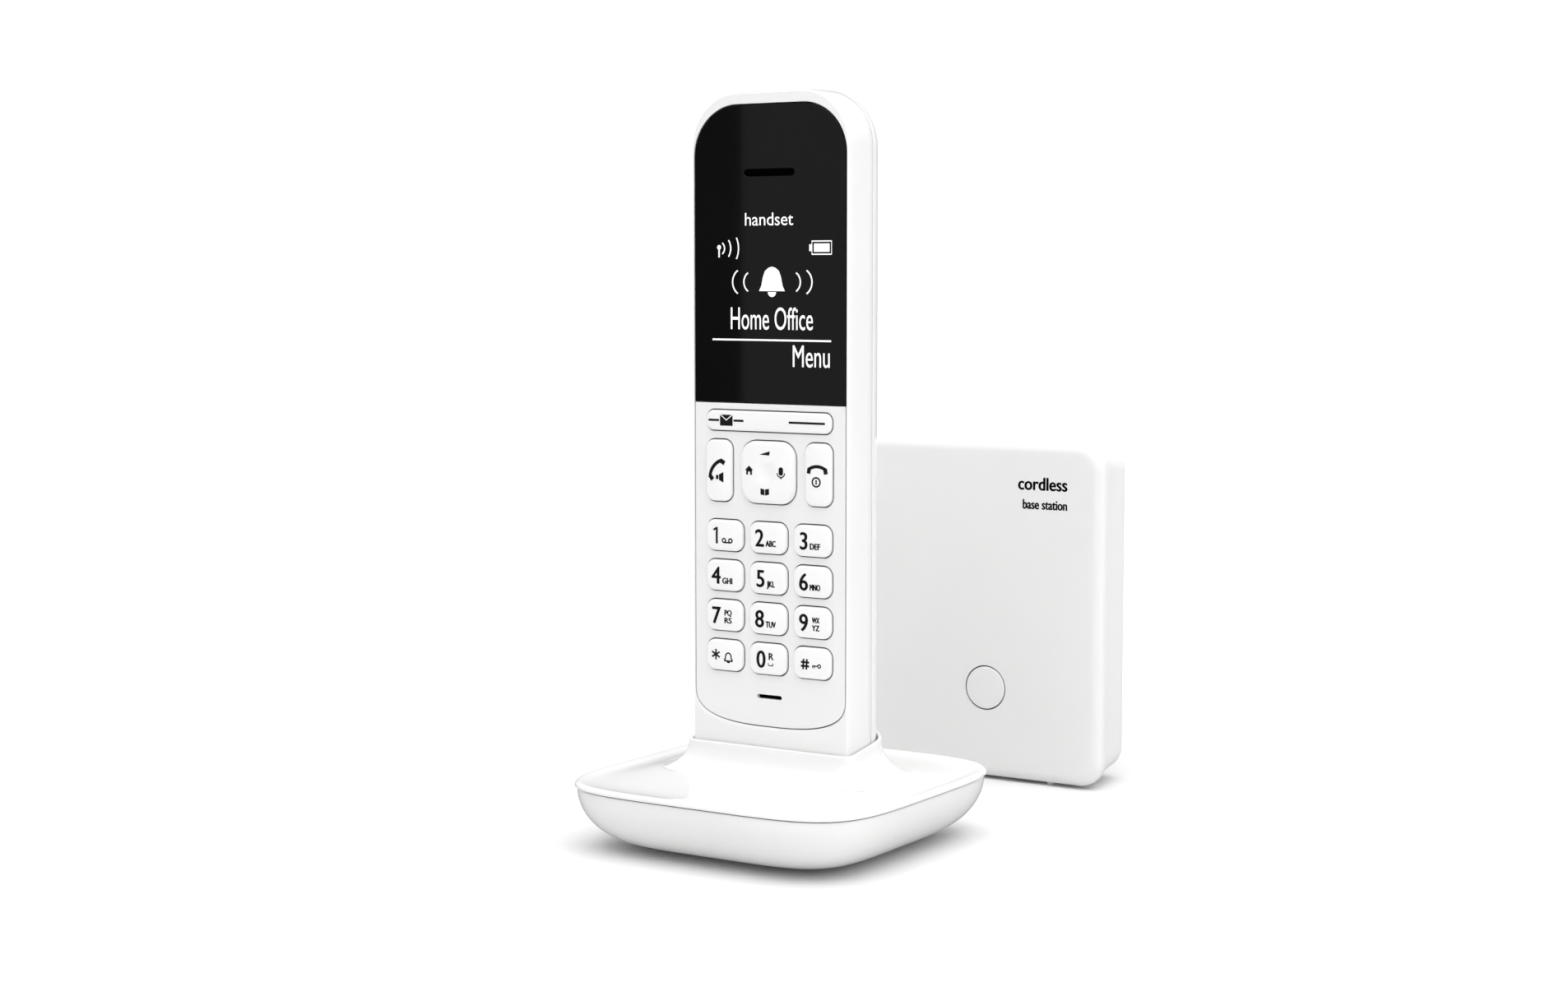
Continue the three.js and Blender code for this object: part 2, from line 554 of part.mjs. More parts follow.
function innerParts() {
  addPart(handset, 'keymat', slab(KEYMAT), 'silicone');
  addPart(handset, 'handset_circuit_board', slab(HANDSET_BOARD), 'board');
  addPart(handset, 'lcd_module', slab(LCD, 0.5), 'glass');
  const holderOuter = {
    ...LCD,
    halfWidth: LCD.halfWidth + GAP + LCD_FRAME,
    bottom: LCD.bottom - GAP - LCD_FRAME,
    top: LCD.top + GAP + LCD_FRAME,
  };
  const holderInner = {
    halfWidth: LCD.halfWidth + GAP,
    bottom: LCD.bottom - GAP,
    top: LCD.top + GAP,
    front: LCD.front - CUT,
    back: LCD.back + CUT,
  };
  addPart(handset, 'lcd_holder', cut(slab(holderOuter), slab(holderInner, 0.5)), 'darkPlastic');
  const behindWall = FRONT_WALL_INNER + GAP;
  const earpieceZ = Math.max(EAR_SLOT.z, holderOuter.top + GAP + EARPIECE.radius);
  const receiver = pinY(EARPIECE.radius, behindWall, EARPIECE.back, 0, earpieceZ);
  addPart(handset, 'earpiece_receiver', receiver, 'darkPlastic');
  const microphone = pinY(MICROPHONE.radius, behindWall, MICROPHONE.back, 0, MIC_SLOT.z);
  addPart(handset, 'microphone', microphone, 'steel');
  const ringer = pinY(RINGER.radius, RINGER.front, RINGER.back, 0, RINGER.z);
  addPart(handset, 'ringer_speaker', ringer, 'darkPlastic');

  const cellY = WELL_FLOOR + GAP + CELL.radius;
  const cellTop = CELL.bottom + CELL.length;
  const sides = [
    ['left', -1],
    ['right', 1],
  ];
  sides.forEach(([sideName, side]) => {
    const x = (side * CELL.pitch) / 2;
    const can = pinZ(CELL.radius, CELL.bottom, cellTop - CELL_CAP.height, x, cellY);
    const cap = pinZ(CELL_CAP.radius, cellTop - CELL_CAP.height - ROOT, cellTop, x, cellY);
    addPart(handset, `battery_cell_${sideName}`, join(can, cap), 'cell');
    const plateFoot = wellBottom + GAP;
    const half = CELL.radius - 1;
    const plateHead = plateFoot + CONTACT_THICKNESS;
    const plate = block([x - half, x + half], [cellY - half, cellY + half], [plateFoot, plateHead]);
    const springTop = plateHead + SPRING.length;
    const spring = pinZ(SPRING.radius, plateFoot + CONTACT_THICKNESS / 2, springTop, x, cellY);
    addPart(handset, `battery_spring_${sideName}`, join(plate, spring), 'steel');
    const { width, depth, recess, height } = CHARGE_CONTACT;
    const contactX = side * CHARGE_CONTACT.x;
    const contact = block(
      [contactX - width / 2, contactX + width / 2],
      [CHARGE_CONTACT.y - depth / 2, CHARGE_CONTACT.y + depth / 2],
      [recess, recess + height],
    );
    addPart(handset, `charge_contact_${sideName}`, contact, 'gold');
    const screwBody = screwY(HANDSET_SCREW.seat, HANDSET_SCREW.tip, side * HANDSET_SCREW.x, HANDSET_SCREW.z);
    addPart(handset, `handset_screw_${sideName}`, screwBody, 'steel');
  });
  const bridgeHalf = CELL.pitch / 2 + CELL.radius - 1;
  const bridge = block(
    [-bridgeHalf, bridgeHalf],
    [cellY - CELL.radius + 1, cellY + CELL.radius - 1],
    [wellTop - GAP - CONTACT_THICKNESS, wellTop - GAP],
  );
  addPart(handset, 'battery_bridge', bridge, 'steel');
}

// ---------------------------------------------------------------- cradle shells
const rim = {
  halfX: CRADLE_WIDTH / 2,
  front: CRADLE_DEPTH / 2,
  rear: CRADLE_DEPTH / 2,
  middleY: 0,
  frontSquare: CRADLE_SQUARE,
  rearSquare: CRADLE_SQUARE,
};
const collar = {
  halfX: HANDSET_WIDTH / 2 + COLLAR_GAP,
  front: PARTING_DEPTH + COLLAR_GAP,
  rear: HANDSET_DEPTH - PARTING_DEPTH + COLLAR_GAP,
  middleY: HANDSET_FRONT_Y + PARTING_DEPTH,
  frontSquare: COLLAR_FRONT_SQUARE,
  rearSquare: COLLAR_REAR_SQUARE,
};
const level = (height) => () => height;
const collarTop = (y) => COLLAR_FRONT + COLLAR_SLOPE * (y - (HANDSET_FRONT_Y - COLLAR_GAP));
const grown = (outline, by) => ({
  ...outline,
  halfX: outline.halfX + by,
  front: outline.front + by,
  rear: outline.rear + by,
});

function between(a, b, share) {
  const keys = Object.keys(a);
  return Object.fromEntries(keys.map((key) => [key, a[key] + (b[key] - a[key]) * share]));
}

function cradleCover() {
  const rimTop = SEAM_HEIGHT + RIM_RISE;
  const wellFloor = HANDSET_LIFT - GAP;
  const underside = SEAM_HEIGHT - LIP_HEIGHT;
  const neckFoot = { ...grown(collar, COLLAR_WALL + NECK_RADIUS), frontSquare: 4, rearSquare: 3 };
  const neckTurns = [0, 1, 2, 3, 4];
  const last = neckTurns.length - 1;
  const neck = neckTurns.map((turn) => {
    const angle = (turn / last) * (Math.PI / 2);
    const reach = 1 - Math.cos(angle);
    const drop = Math.sin(angle);
    const outline = between(grown(collar, COLLAR_WALL), neckFoot, reach);
    return levelRing(outline, (y) => {
      const top = collarTop(y) - COLLAR_ROUND;
      return top + (rimTop + NECK_SWELL - top) * drop;
    });
  });
  const edge = 1;
  const outside = [
    levelRing(collar, level(wellFloor)),
    levelRing(collar, (y) => collarTop(y) - 0.5),
    levelRing(grown(collar, 0.5), collarTop),
    levelRing(grown(collar, COLLAR_WALL - 0.5), collarTop),
    ...neck,
    levelRing(between(neckFoot, rim, 0.35), level(rimTop - DISH_DROP / 2)),
    levelRing(between(neckFoot, rim, 0.7), level(rimTop - DISH_DROP)),
    levelRing(grown(rim, -2.2), level(rimTop - DISH_DROP / 3)),
    levelRing(grown(rim, -edge), level(rimTop)),
    levelRing(grown(rim, -edge * 0.3), level(rimTop - edge * 0.3)),
    levelRing(rim, level(rimTop - edge)),
  ];
  const lip = grown(rim, -TRAY_RIM_STEP - BASE_WALL - GAP);
  const inside = [
    levelRing(rim, level(SEAM_HEIGHT + GAP / 2)),
    levelRing(lip, level(SEAM_HEIGHT + GAP / 2)),
    levelRing(grown(lip, -0.1), level(underside)),
    levelRing(grown(collar, COLLAR_WALL + 5.5), level(underside)),
    levelRing(grown(collar, COLLAR_WALL + 1.8), level(wellFloor + 1.6)),
    levelRing(grown(collar, COLLAR_WALL + 0.2), level(wellFloor + 1.6)),
    levelRing(grown(collar, COLLAR_WALL), level(wellFloor - WELL_BASE)),
  ];
  const shell = loft([...outside, ...inside]);
  const sides = [-1, 1];
  const posts = sides.map((side) =>
    pinZ(CRADLE_SCREW.postRadius, CRADLE_SCREW.joint + GAP, wellFloor - ROOT, side * CRADLE_SCREW.x, 0),
  );
  const bores = sides.map((side) =>
    pinZ(SHANK_BORE, CRADLE_SCREW.joint, CRADLE_SCREW.tip + GAP, side * CRADLE_SCREW.x, 0),
  );
  const slots = sides.map((side) => pinBlock(side, GAP, underside - CUT, wellFloor + CUT));
  return cut(join(shell, ...posts), ...bores, ...slots);
}

function pinBlock(side, grow, bottom, top) {
  const x = side * CHARGE_CONTACT.x;
  const y = HANDSET_FRONT_Y + CHARGE_CONTACT.y;
  const halfX = CRADLE_PIN.width / 2 + grow;
  const halfY = CRADLE_PIN.depth / 2 + grow;
  return block([x - halfX, x + halfX], [y - halfY, y + halfY], [bottom, top]);
}

function cradleTray() {
  const rimStep = grown(rim, -TRAY_RIM_STEP);
  const top = SEAM_HEIGHT - GAP / 2;
  const turns = [0, 1, 2, 3, 4, 5];
  const last = turns.length - 1;
  const bowl = (wall, turn) => {
    const angle = (turn / last) * (Math.PI / 2);
    const inset = (TRAY_INSET - TRAY_RIM_STEP) * (1 - Math.sin(angle)) + wall;
    const height = top - (top - TRAY_FLOOR - wall) * Math.cos(angle);
    return levelRing(grown(rimStep, -inset), level(height));
  };
  const outside = turns.map((turn) => bowl(0, turn));
  const inside = [...turns].reverse().map((turn) => bowl(BASE_WALL, turn));
  const shell = loft([...outside, ...inside]);
  const sides = [-1, 1];
  const floorTop = TRAY_FLOOR + BASE_WALL - ROOT;
  const bosses = sides.map((side) =>
    pinZ(CRADLE_SCREW.bossRadius, TRAY_FLOOR, CRADLE_SCREW.joint, side * CRADLE_SCREW.x, 0),
  );
  const heads = sides.map((side) =>
    pinZ(HEAD_BORE, TRAY_FLOOR - CUT, CRADLE_SCREW.seat + GAP, side * CRADLE_SCREW.x, 0),
  );
  const bores = sides.map((side) =>
    pinZ(SHANK_BORE, TRAY_FLOOR, CRADLE_SCREW.joint + CUT, side * CRADLE_SCREW.x, 0),
  );
  const boardPosts = sides.map((side) =>
    pinZ(CRADLE_BOARD.postRadius, floorTop, CRADLE_BOARD.bottom - GAP, side * CRADLE_BOARD.postX, 0),
  );
  const footPockets = footPlaces().map(([, x, y]) =>
    pinZ(FOOT.radius + GAP, TRAY_FLOOR - CUT, FOOT.height + GAP, x, y),
  );
  const halfInlet = INLET.width / 2 + GAP;
  const inletGate = block(
    [-halfInlet, halfInlet],
    [INLET.mouth - INLET.depth - GAP, CRADLE_DEPTH / 2 + CUT],
    [INLET.bottom - GAP, INLET.bottom + INLET.height + GAP],
  );
  return cut(join(shell, ...bosses, ...boardPosts), ...heads, ...bores, ...footPockets, inletGate);
}

function footPlaces() {
  return [
    ['front_left', -FOOT.x, -FOOT.y],
    ['front_right', FOOT.x, -FOOT.y],
    ['rear_left', -FOOT.x, FOOT.y],
    ['rear_right', FOOT.x, FOOT.y],
  ];
}

// A socket body with a pocket that opens to the back and a contact blade in its floor.
function socketBody([x0, x1], [y0, y1], [z0, z1], pocket) {
  const body = block([x0, x1], [y0, y1], [z0, z1]);
  const [x, z] = [(x0 + x1) / 2, (z0 + z1) / 2];
  const hollow = block(
    [x - pocket.width / 2, x + pocket.width / 2],
    [y1 - pocket.depth, y1 + CUT],
    [z - pocket.height / 2, z + pocket.height / 2],
  );
  return cut(body, hollow);
}

function cradleParts() {
  addPart(cradle, 'cradle_cover', cradleCover(), 'glossWhite');
  addPart(cradle, 'cradle_tray', cradleTray(), 'glossWhite');
  footPlaces().forEach(([place, x, y]) => {
    addPart(cradle, `cradle_foot_${place}`, pinZ(FOOT.radius, 0, FOOT.height, x, y), 'rubber');
  });
  const boardTop = CRADLE_BOARD.bottom + CRADLE_BOARD.thickness;
  const board = block(
    [-CRADLE_BOARD.halfX, CRADLE_BOARD.halfX],
    [CRADLE_BOARD.front, CRADLE_BOARD.back],
    [CRADLE_BOARD.bottom, boardTop],
  );
  addPart(cradle, 'cradle_contact_board', board, 'board');
  const pinTop = HANDSET_LIFT + CHARGE_CONTACT.recess - GAP;
  const pinFoot = boardTop + CRADLE_PIN.travel + GAP;
  [
    ['left', -1],
    ['right', 1],
  ].forEach(([sideName, side]) => {
    addPart(cradle, `cradle_contact_${sideName}`, pinBlock(side, 0, pinFoot, pinTop), 'gold');
    const body = screwZ(CRADLE_SCREW.seat, CRADLE_SCREW.tip, side * CRADLE_SCREW.x, 0);
    addPart(cradle, `cradle_screw_${sideName}`, body, 'steel');
  });
  const inlet = socketBody(
    [-INLET.width / 2, INLET.width / 2],
    [INLET.mouth - INLET.depth, INLET.mouth],
    [INLET.bottom, INLET.bottom + INLET.height],
    INLET_POCKET,
  );
  addPart(cradle, 'cradle_power_inlet', inlet, 'darkPlastic');
}

// ---------------------------------------------------------------- base station box
function stationRing(depth, inset) {
  const radius = Math.max(STATION_RADIUS - inset / 2, 2);
  const half = STATION_WIDTH / 2 - inset;
  return uprightRing(depth, half, STATION_BOTTOM + inset, STATION_TOP - inset, radius, radius);
}

function pairOfNubs(y, inset) {
  const top = STATION_BOTTOM + inset + BASE_WALL / 2;
  return [-1, 1].map((side) => pinZ(NUB.radius, 0, top, side * NUB.x, y));
}

function stationCover() {
  const seam = STATION_COVER_DEPTH - GAP / 2;
  const outside = [0, 1, 2, 3].map((turn) => {
    const angle = (turn / 3) * (Math.PI / 2);
    const inset = STATION_EDGE.width * (1 - Math.sin(angle));
    return stationRing(STATION_EDGE.depth * (1 - Math.cos(angle)), inset);
  });
  outside.push(stationRing(seam, 0));
  const inside = [stationRing(seam, BASE_WALL), stationRing(BASE_WALL, STATION_EDGE.width)];
  const posts = [-1, 1].map((side) =>
    pinY(
      STATION_SCREW.postRadius,
      BASE_WALL - ROOT,
      STATION_SCREW.joint - GAP,
      side * STATION_SCREW.x,
      STATION_SCREW.z,
    ),
  );
  const bores = [-1, 1].map((side) =>
    pinY(SHANK_BORE, STATION_SCREW.tip - GAP, STATION_SCREW.joint, side * STATION_SCREW.x, STATION_SCREW.z),
  );
  const buttonHole = pinY(PAGER.radius + GAP, -CUT, BASE_WALL + CUT, PAGER.x, PAGER.z);
  const shell = loft([...outside, ...inside]);
  return cut(join(shell, ...posts, ...pairOfNubs(NUB.frontY, 0)), ...bores, buttonHole);
}

function stationShell() {
  const seam = STATION_COVER_DEPTH + GAP / 2;
  const rollStart = STATION_DEPTH - STATION_ROLL;
  const turns = [0, 1, 2, 3, 4];
  const last = turns.length - 1;
  const roll = (wall) =>
    turns.map((turn) => {
      const angle = (turn / last) * (Math.PI / 2);
      const inset = STATION_STEP + STATION_TAPER + STATION_ROLL * (1 - Math.cos(angle)) * ROLL_FLATNESS;
      return stationRing(rollStart + (STATION_ROLL - wall) * Math.sin(angle), inset + wall);
    });
  const outside = [...roll(0).reverse(), stationRing(seam, STATION_STEP)];
  const inside = [stationRing(seam, STATION_STEP + BASE_WALL), ...roll(BASE_WALL)];
  const shell = loft([...outside, ...inside]);
  const posts = [-1, 1].map((side) =>
    pinY(SLEEVE, STATION_SCREW.joint, STATION_DEPTH - 1, side * STATION_SCREW.x, STATION_SCREW.z),
  );
  const heads = [-1, 1].map((side) =>
    pinY(HEAD_BORE, STATION_SCREW.seat - GAP, STATION_DEPTH + CUT, side * STATION_SCREW.x, STATION_SCREW.z),
  );
  const bores = [-1, 1].map((side) =>
    pinY(SHANK_BORE, STATION_SCREW.joint - CUT, STATION_SCREW.seat, side * STATION_SCREW.x, STATION_SCREW.z),
  );
  const gates = [LINE_JACK, POWER_JACK].map((jack) =>
    block(
      [jack.x - jack.width / 2 - GAP, jack.x + jack.width / 2 + GAP],
      [JACK.front, STATION_DEPTH + CUT],
      [JACK.centreZ - jack.height / 2 - GAP, JACK.centreZ + jack.height / 2 + GAP],
    ),
  );
  const nubs = pairOfNubs(NUB.rearY, STATION_STEP + STATION_TAPER);
  return cut(join(shell, ...posts, ...nubs), ...heads, ...bores, ...gates);
}

function jackBody(jack) {
  return socketBody(
    [jack.x - jack.width / 2, jack.x + jack.width / 2],
    [JACK.front, JACK.back],
    [JACK.centreZ - jack.height / 2, JACK.centreZ + jack.height / 2],
    { width: jack.pocketWidth, height: jack.pocketHeight, depth: JACK.pocketDepth },
  );
}

function stationParts() {
  addPart(station, 'station_front_cover', stationCover(), 'satinWhite');
  addPart(station, 'station_rear_shell', stationShell(), 'satinWhite');
  const cap = pinY(PAGER.radius, -PAGER.proud, PAGER.back, PAGER.x, PAGER.z);
  addPart(station, 'paging_button', cap, 'satinWhite');
  const board = block(
    [-STATION_BOARD.halfX, STATION_BOARD.halfX],
    [STATION_BOARD.front, STATION_BOARD.back],
    [STATION_BOARD.bottom, STATION_BOARD.top],
  );
  addPart(station, 'station_circuit_board', board, 'board');
  const tactSwitch = block(
    [PAGER.x - SWITCH.half, PAGER.x + SWITCH.half],
    [SWITCH.front, STATION_BOARD.front - GAP],
    [PAGER.z - SWITCH.half, PAGER.z + SWITCH.half],
  );
  addPart(station, 'paging_switch', tactSwitch, 'darkPlastic');
  addPart(station, 'station_line_jack', jackBody(LINE_JACK), 'darkPlastic');
  addPart(station, 'station_power_jack', jackBody(POWER_JACK), 'darkPlastic');
  [
    ['left', -1],
    ['right', 1],
  ].forEach(([sideName, side]) => {
    const body = screwY(STATION_SCREW.seat, STATION_SCREW.tip, side * STATION_SCREW.x, STATION_SCREW.z);
    addPart(station, `station_screw_${sideName}`, body, 'steel');
  });
}

handsetParts();
keyParts();
innerParts();
cradleParts();
stationParts();

handset.position.set(0, HANDSET_FRONT_Y, HANDSET_LIFT);
station.position.set(STATION_X, STATION_Y, 0);
set.updateMatrixWorld(true);
const extent = new THREE.Box3().setFromObject(set, true);
set.position.set(-(extent.min.x + extent.max.x) / 2, -(extent.min.y + extent.max.y) / 2, -extent.min.z);

export default set;
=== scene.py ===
from math import ceil, copysign, cos, hypot, pi, radians, sin, sqrt

import bmesh
import bpy
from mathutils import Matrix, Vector


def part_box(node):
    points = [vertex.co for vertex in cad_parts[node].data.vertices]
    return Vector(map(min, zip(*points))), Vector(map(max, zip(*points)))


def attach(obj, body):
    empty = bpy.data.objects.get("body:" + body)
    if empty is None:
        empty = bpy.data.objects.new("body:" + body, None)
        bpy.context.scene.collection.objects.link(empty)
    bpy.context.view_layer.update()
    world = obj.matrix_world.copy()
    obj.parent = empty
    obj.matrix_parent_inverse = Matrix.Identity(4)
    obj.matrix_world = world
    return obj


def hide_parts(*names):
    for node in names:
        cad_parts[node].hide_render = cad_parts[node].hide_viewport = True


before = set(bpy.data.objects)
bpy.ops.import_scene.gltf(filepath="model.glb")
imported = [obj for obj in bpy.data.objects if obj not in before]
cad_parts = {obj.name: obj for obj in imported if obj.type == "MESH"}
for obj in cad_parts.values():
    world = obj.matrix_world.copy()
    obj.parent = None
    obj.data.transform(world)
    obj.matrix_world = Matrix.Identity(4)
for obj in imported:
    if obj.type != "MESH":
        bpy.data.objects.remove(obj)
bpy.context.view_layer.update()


# -------------------- viewpoint and studio
# The set is seen from its right, a little above the middle of the handset, on a long lens.
# It stands on a seamless white floor under a broad overhead light, with a panel in front,
# one at its right, and air that looks darker in front to the glossy faces.
MM = 0.001
LENS_LENGTH, FILM_WIDTH = 57.81, 36
LOOK_DOWN, LOOK_ASIDE = 4.97, 32.55
STAND_OFF = Vector((0.3498, -0.5477, 0.1314))
cover_low, cover_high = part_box("cradle_cover")
cradle_x = (cover_low.x + cover_high.x) / 2
cradle_y = (cover_low.y + cover_high.y) / 2
seam_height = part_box("cradle_tray")[1].z + 0.15 * MM


def placed(name, data):
    holder = bpy.data.objects.new(name, data)
    bpy.context.scene.collection.objects.link(holder)
    return holder


lens_kit = bpy.data.cameras.new("viewpoint")
lens_kit.lens = LENS_LENGTH
lens_kit.sensor_width = FILM_WIDTH
lens_kit.clip_start = 0.01
viewpoint = placed("viewpoint", lens_kit)
viewpoint.location = Vector((cradle_x, cradle_y, seam_height)) + STAND_OFF
viewpoint.rotation_euler = (radians(90 - LOOK_DOWN), 0, radians(LOOK_ASIDE))
bpy.context.scene.camera = viewpoint
bpy.context.scene.view_settings.view_transform = "Standard"


def wire(tree, *links):
    for source, socket, target, into in links:
        tree.links.new(source.outputs[socket], target.inputs[into])


def made(tree, kind, operation=None, **inputs):
    node = tree.nodes.new("ShaderNode" + kind)
    if operation:
        node.operation = operation
    for label, value in inputs.items():
        node.inputs[label.replace("_", " ")].default_value = value
    return node


def studio_air(level_low, level_high, seen, mirrored_ahead, mirrored_behind):
    world = bpy.data.worlds.new("studio_air")
    world.use_nodes = True
    tree = world.node_tree
    tree.nodes.clear()
    white = (1, 1, 1, 1)
    place, split, ray = made(tree, "TexCoord"), made(tree, "SeparateXYZ"), made(tree, "LightPath")
    rise = made(tree, "MapRange", From_Min=-0.2, From_Max=0.9, To_Min=level_low, To_Max=level_high)
    ahead = made(tree, "MapRange", From_Min=-0.6, From_Max=0.1, To_Min=mirrored_ahead, To_Max=mirrored_behind)
    fade = made(tree, "MapRange", To_Min=1)
    level = made(tree, "Math", "MULTIPLY")
    soft = made(tree, "Background", Color=white)
    plain = made(tree, "Background", Color=white, Strength=seen)
    choose, out = made(tree, "MixShader"), made(tree, "OutputWorld")
    wire(
        tree,
        (place, "Generated", split, 0),
        (split, "Z", rise, "Value"),
        (split, "Y", ahead, "Value"),
        (ahead, "Result", fade, "To Max"),
        (ray, "Is Glossy Ray", fade, "Value"),
        (rise, "Result", level, 0),
        (fade, "Result", level, 1),
        (level, 0, soft, "Strength"),
        (ray, "Is Camera Ray", choose, 0),
        (soft, 0, choose, 1),
        (plain, 0, choose, 2),
        (choose, 0, out, "Surface"),
    )
    bpy.context.scene.world = world


def overhead(strength, spread, tilt_x, tilt_y):
    light = bpy.data.lights.new("overhead", "SUN")
    light.energy = strength
    light.angle = radians(spread)
    placed("overhead", light).rotation_euler = (radians(tilt_x), radians(tilt_y), 0)


def panel(name, power, wide, high, place, turn, mirrored_only=False):
    light = bpy.data.lights.new(name, "AREA")
    light.shape = "RECTANGLE"
    light.energy = power
    light.size = wide
    light.size_y = high
    holder = placed(name, light)
    holder.location = place
    holder.rotation_euler = tuple(radians(angle) for angle in turn)
    holder.visible_diffuse = not mirrored_only


studio_air(0.2, 0.66, 1.05, 0.3, 1.5)
overhead(2.4, 70, 8, 6)
front = {"wide": 2.4, "high": 3.2, "place": (0.23, -1.5, 0.6), "turn": (90, 0, 0)}
panel("front_panel", 10.5, **front)
panel("gloss_panel", 45, **front, mirrored_only=True)
panel("side_panel", 10.5, 2.0, 2.0, (1.5, 0.1, 0.9), (0, 78, 0))

FLOOR_HALF, FLOOR_SHADE = 3, 0.79
floor_mesh = bpy.data.meshes.new("floor")
floor_corners = [(-1, -1), (1, -1), (1, 1), (-1, 1)]
floor_mesh.from_pydata([(x * FLOOR_HALF, y * FLOOR_HALF, 0) for x, y in floor_corners], [], [(0, 1, 2, 3)])
floor = placed("floor", floor_mesh)
floor_paint = bpy.data.materials.new("floor_paint")
floor_paint.use_nodes = True
floor_shader = floor_paint.node_tree.nodes["Principled BSDF"]
floor_shader.inputs["Base Color"].default_value = (FLOOR_SHADE, FLOOR_SHADE, FLOOR_SHADE, 1)
floor_shader.inputs["Roughness"].default_value = 0.9
floor_shader.inputs["Specular IOR Level"].default_value = 0.0
floor_mesh.materials.append(floor_paint)
floor.visible_glossy = False


# -------------------- handset front housing
# A deep tray of glossy white ABS, injection moulded in one piece. Its front is recessed
# for the lens and the keypad plate, with a pocket under the foot for each contact.
housing_low, housing_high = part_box("handset_front_housing")
handset_x = (housing_low.x + housing_high.x) / 2


def measured_from(corner_x, corner_y, corner_z):
    return lambda x, y, z: Vector((corner_x + x * MM, corner_y + y * MM, corner_z + z * MM))


on_handset = measured_from(handset_x, housing_low.y, housing_low.z)


def shade(piece, angle=38):
    piece.data.shade_smooth()
    piece.data.set_sharp_from_angle(angle=radians(angle))


def reworked(mesh, change):
    work = bmesh.new()
    work.from_mesh(mesh)
    change(work)
    work.to_mesh(mesh)
    work.free()
    return mesh


def solid(name, points, faces):
    mesh = bpy.data.meshes.new(name)
    mesh.from_pydata([tuple(point) for point in points], [], faces)
    reworked(mesh, lambda work: bmesh.ops.recalc_face_normals(work, faces=work.faces))
    piece = placed(name, mesh)
    shade(piece)
    return piece


def skin(name, rings, wrap=False):
    count = len(rings[0])
    faces = []
    for level in range(len(rings) if wrap else len(rings) - 1):
        here = level * count
        there = ((level + 1) % len(rings)) * count
        for i in range(count):
            j = (i + 1) % count
            faces.append((here + i, here + j, there + j, there + i))
    if not wrap:
        faces.append(tuple(range(count)))
        faces.append(tuple(range((len(rings) - 1) * count, len(rings) * count)))
    return solid(name, [point for ring in rings for point in ring], faces)


def carve(piece, *tools, how="DIFFERENCE"):
    for tool in tools:
        step = piece.modifiers.new(tool.name, "BOOLEAN")
        step.object = tool
        step.operation = how
        step.solver = "EXACT"
    bpy.context.view_layer.update()
    shaped = bpy.data.meshes.new_from_object(piece.evaluated_get(bpy.context.evaluated_depsgraph_get()))
    piece.modifiers.clear()
    piece.data = shaped
    for tool in tools:
        bpy.data.objects.remove(tool)
    shade(piece)
    return piece


def block(name, low, high):
    corners = [(low.x, low.y), (high.x, low.y), (high.x, high.y), (low.x, high.y)]
    return skin(name, [[Vector((x, y, z)) for x, y in corners] for z in (low.z, high.z)])


def fit(piece, body, slot, material, *replaced):
    piece.data.materials.clear()
    piece.data.materials.append(material)
    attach(piece, body)
    if replaced:
        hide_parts(*replaced)


HANDSET = {"half": 24, "height": 176.3, "depth": 21.5, "parting": 11.3, "foot": 7, "crown": 14, "roll": 12}
FASCIA = {"half": 23, "top": 172.85, "corner": 13, "shoulder": 22.2, "bottom": 12.9}
FASCIA.update(bow=2.8, split=96.65)
CONTACT_X = 8
SIDE_STEPS, ARC_STEPS, TOP_STEPS, FOOT_STEPS = 10, 24, 6, 64


def face_ring(half, top, corner, shoulder, bottom, depth, bow=0):
    points = [(half, shoulder + (top - corner - shoulder) * i / SIDE_STEPS) for i in range(SIDE_STEPS)]
    for i in range(ARC_STEPS):
        turn = pi / 2 * i / ARC_STEPS
        points.append((half - corner + corner * cos(turn), top - corner + corner * sin(turn)))
    points += [((half - corner) * (1 - 2 * i / TOP_STEPS), top) for i in range(TOP_STEPS)]
    for i in range(ARC_STEPS):
        turn = pi / 2 * (1 + i / ARC_STEPS)
        points.append((-half + corner + corner * cos(turn), top - corner + corner * sin(turn)))
    side = top - corner - shoulder
    points += [(-half, top - corner - side * i / SIDE_STEPS) for i in range(SIDE_STEPS)]
    radius = shoulder - bottom
    quarter = FOOT_STEPS // 4
    for i in range(FOOT_STEPS):
        turn = pi * (1 + i / FOOT_STEPS)
        if bow:
            across = abs(cos(turn)) ** (2 / bow) * (-1 if i < FOOT_STEPS / 2 else 1)
            points.append((half * across, shoulder - radius * abs(sin(turn)) ** (2 / bow)))
        elif i < quarter:
            turn = pi * (1 + i / quarter / 2)
            points.append((-half + radius + radius * cos(turn), shoulder + radius * sin(turn)))
        elif i < 3 * quarter:
            points.append(((half - radius) * (i - 2 * quarter) / quarter, bottom))
        else:
            turn = pi * (1.5 + (i / quarter - 3) / 2)
            points.append((half - radius + radius * cos(turn), shoulder + radius * sin(turn)))
    return [on_handset(x, depth, z) for x, z in points]


def body_ring(inset, depth):
    low = HANDSET["foot"] - 0.25 * inset
    high = HANDSET["crown"] - 0.5 * inset
    top = HANDSET["height"] - inset
    return face_ring(HANDSET["half"] - inset, top, high, inset + low, inset, depth)


def fascia_ring(grow, depth):
    return face_ring(
        FASCIA["half"] + grow,
        FASCIA["top"] + grow,
        FASCIA["corner"] + grow,
        FASCIA["shoulder"],
        FASCIA["bottom"] - grow,
        depth,
        FASCIA["bow"],
    )


def blend_rings(a, b, share):
    return [p.lerp(q, share) for p, q in zip(a, b)]


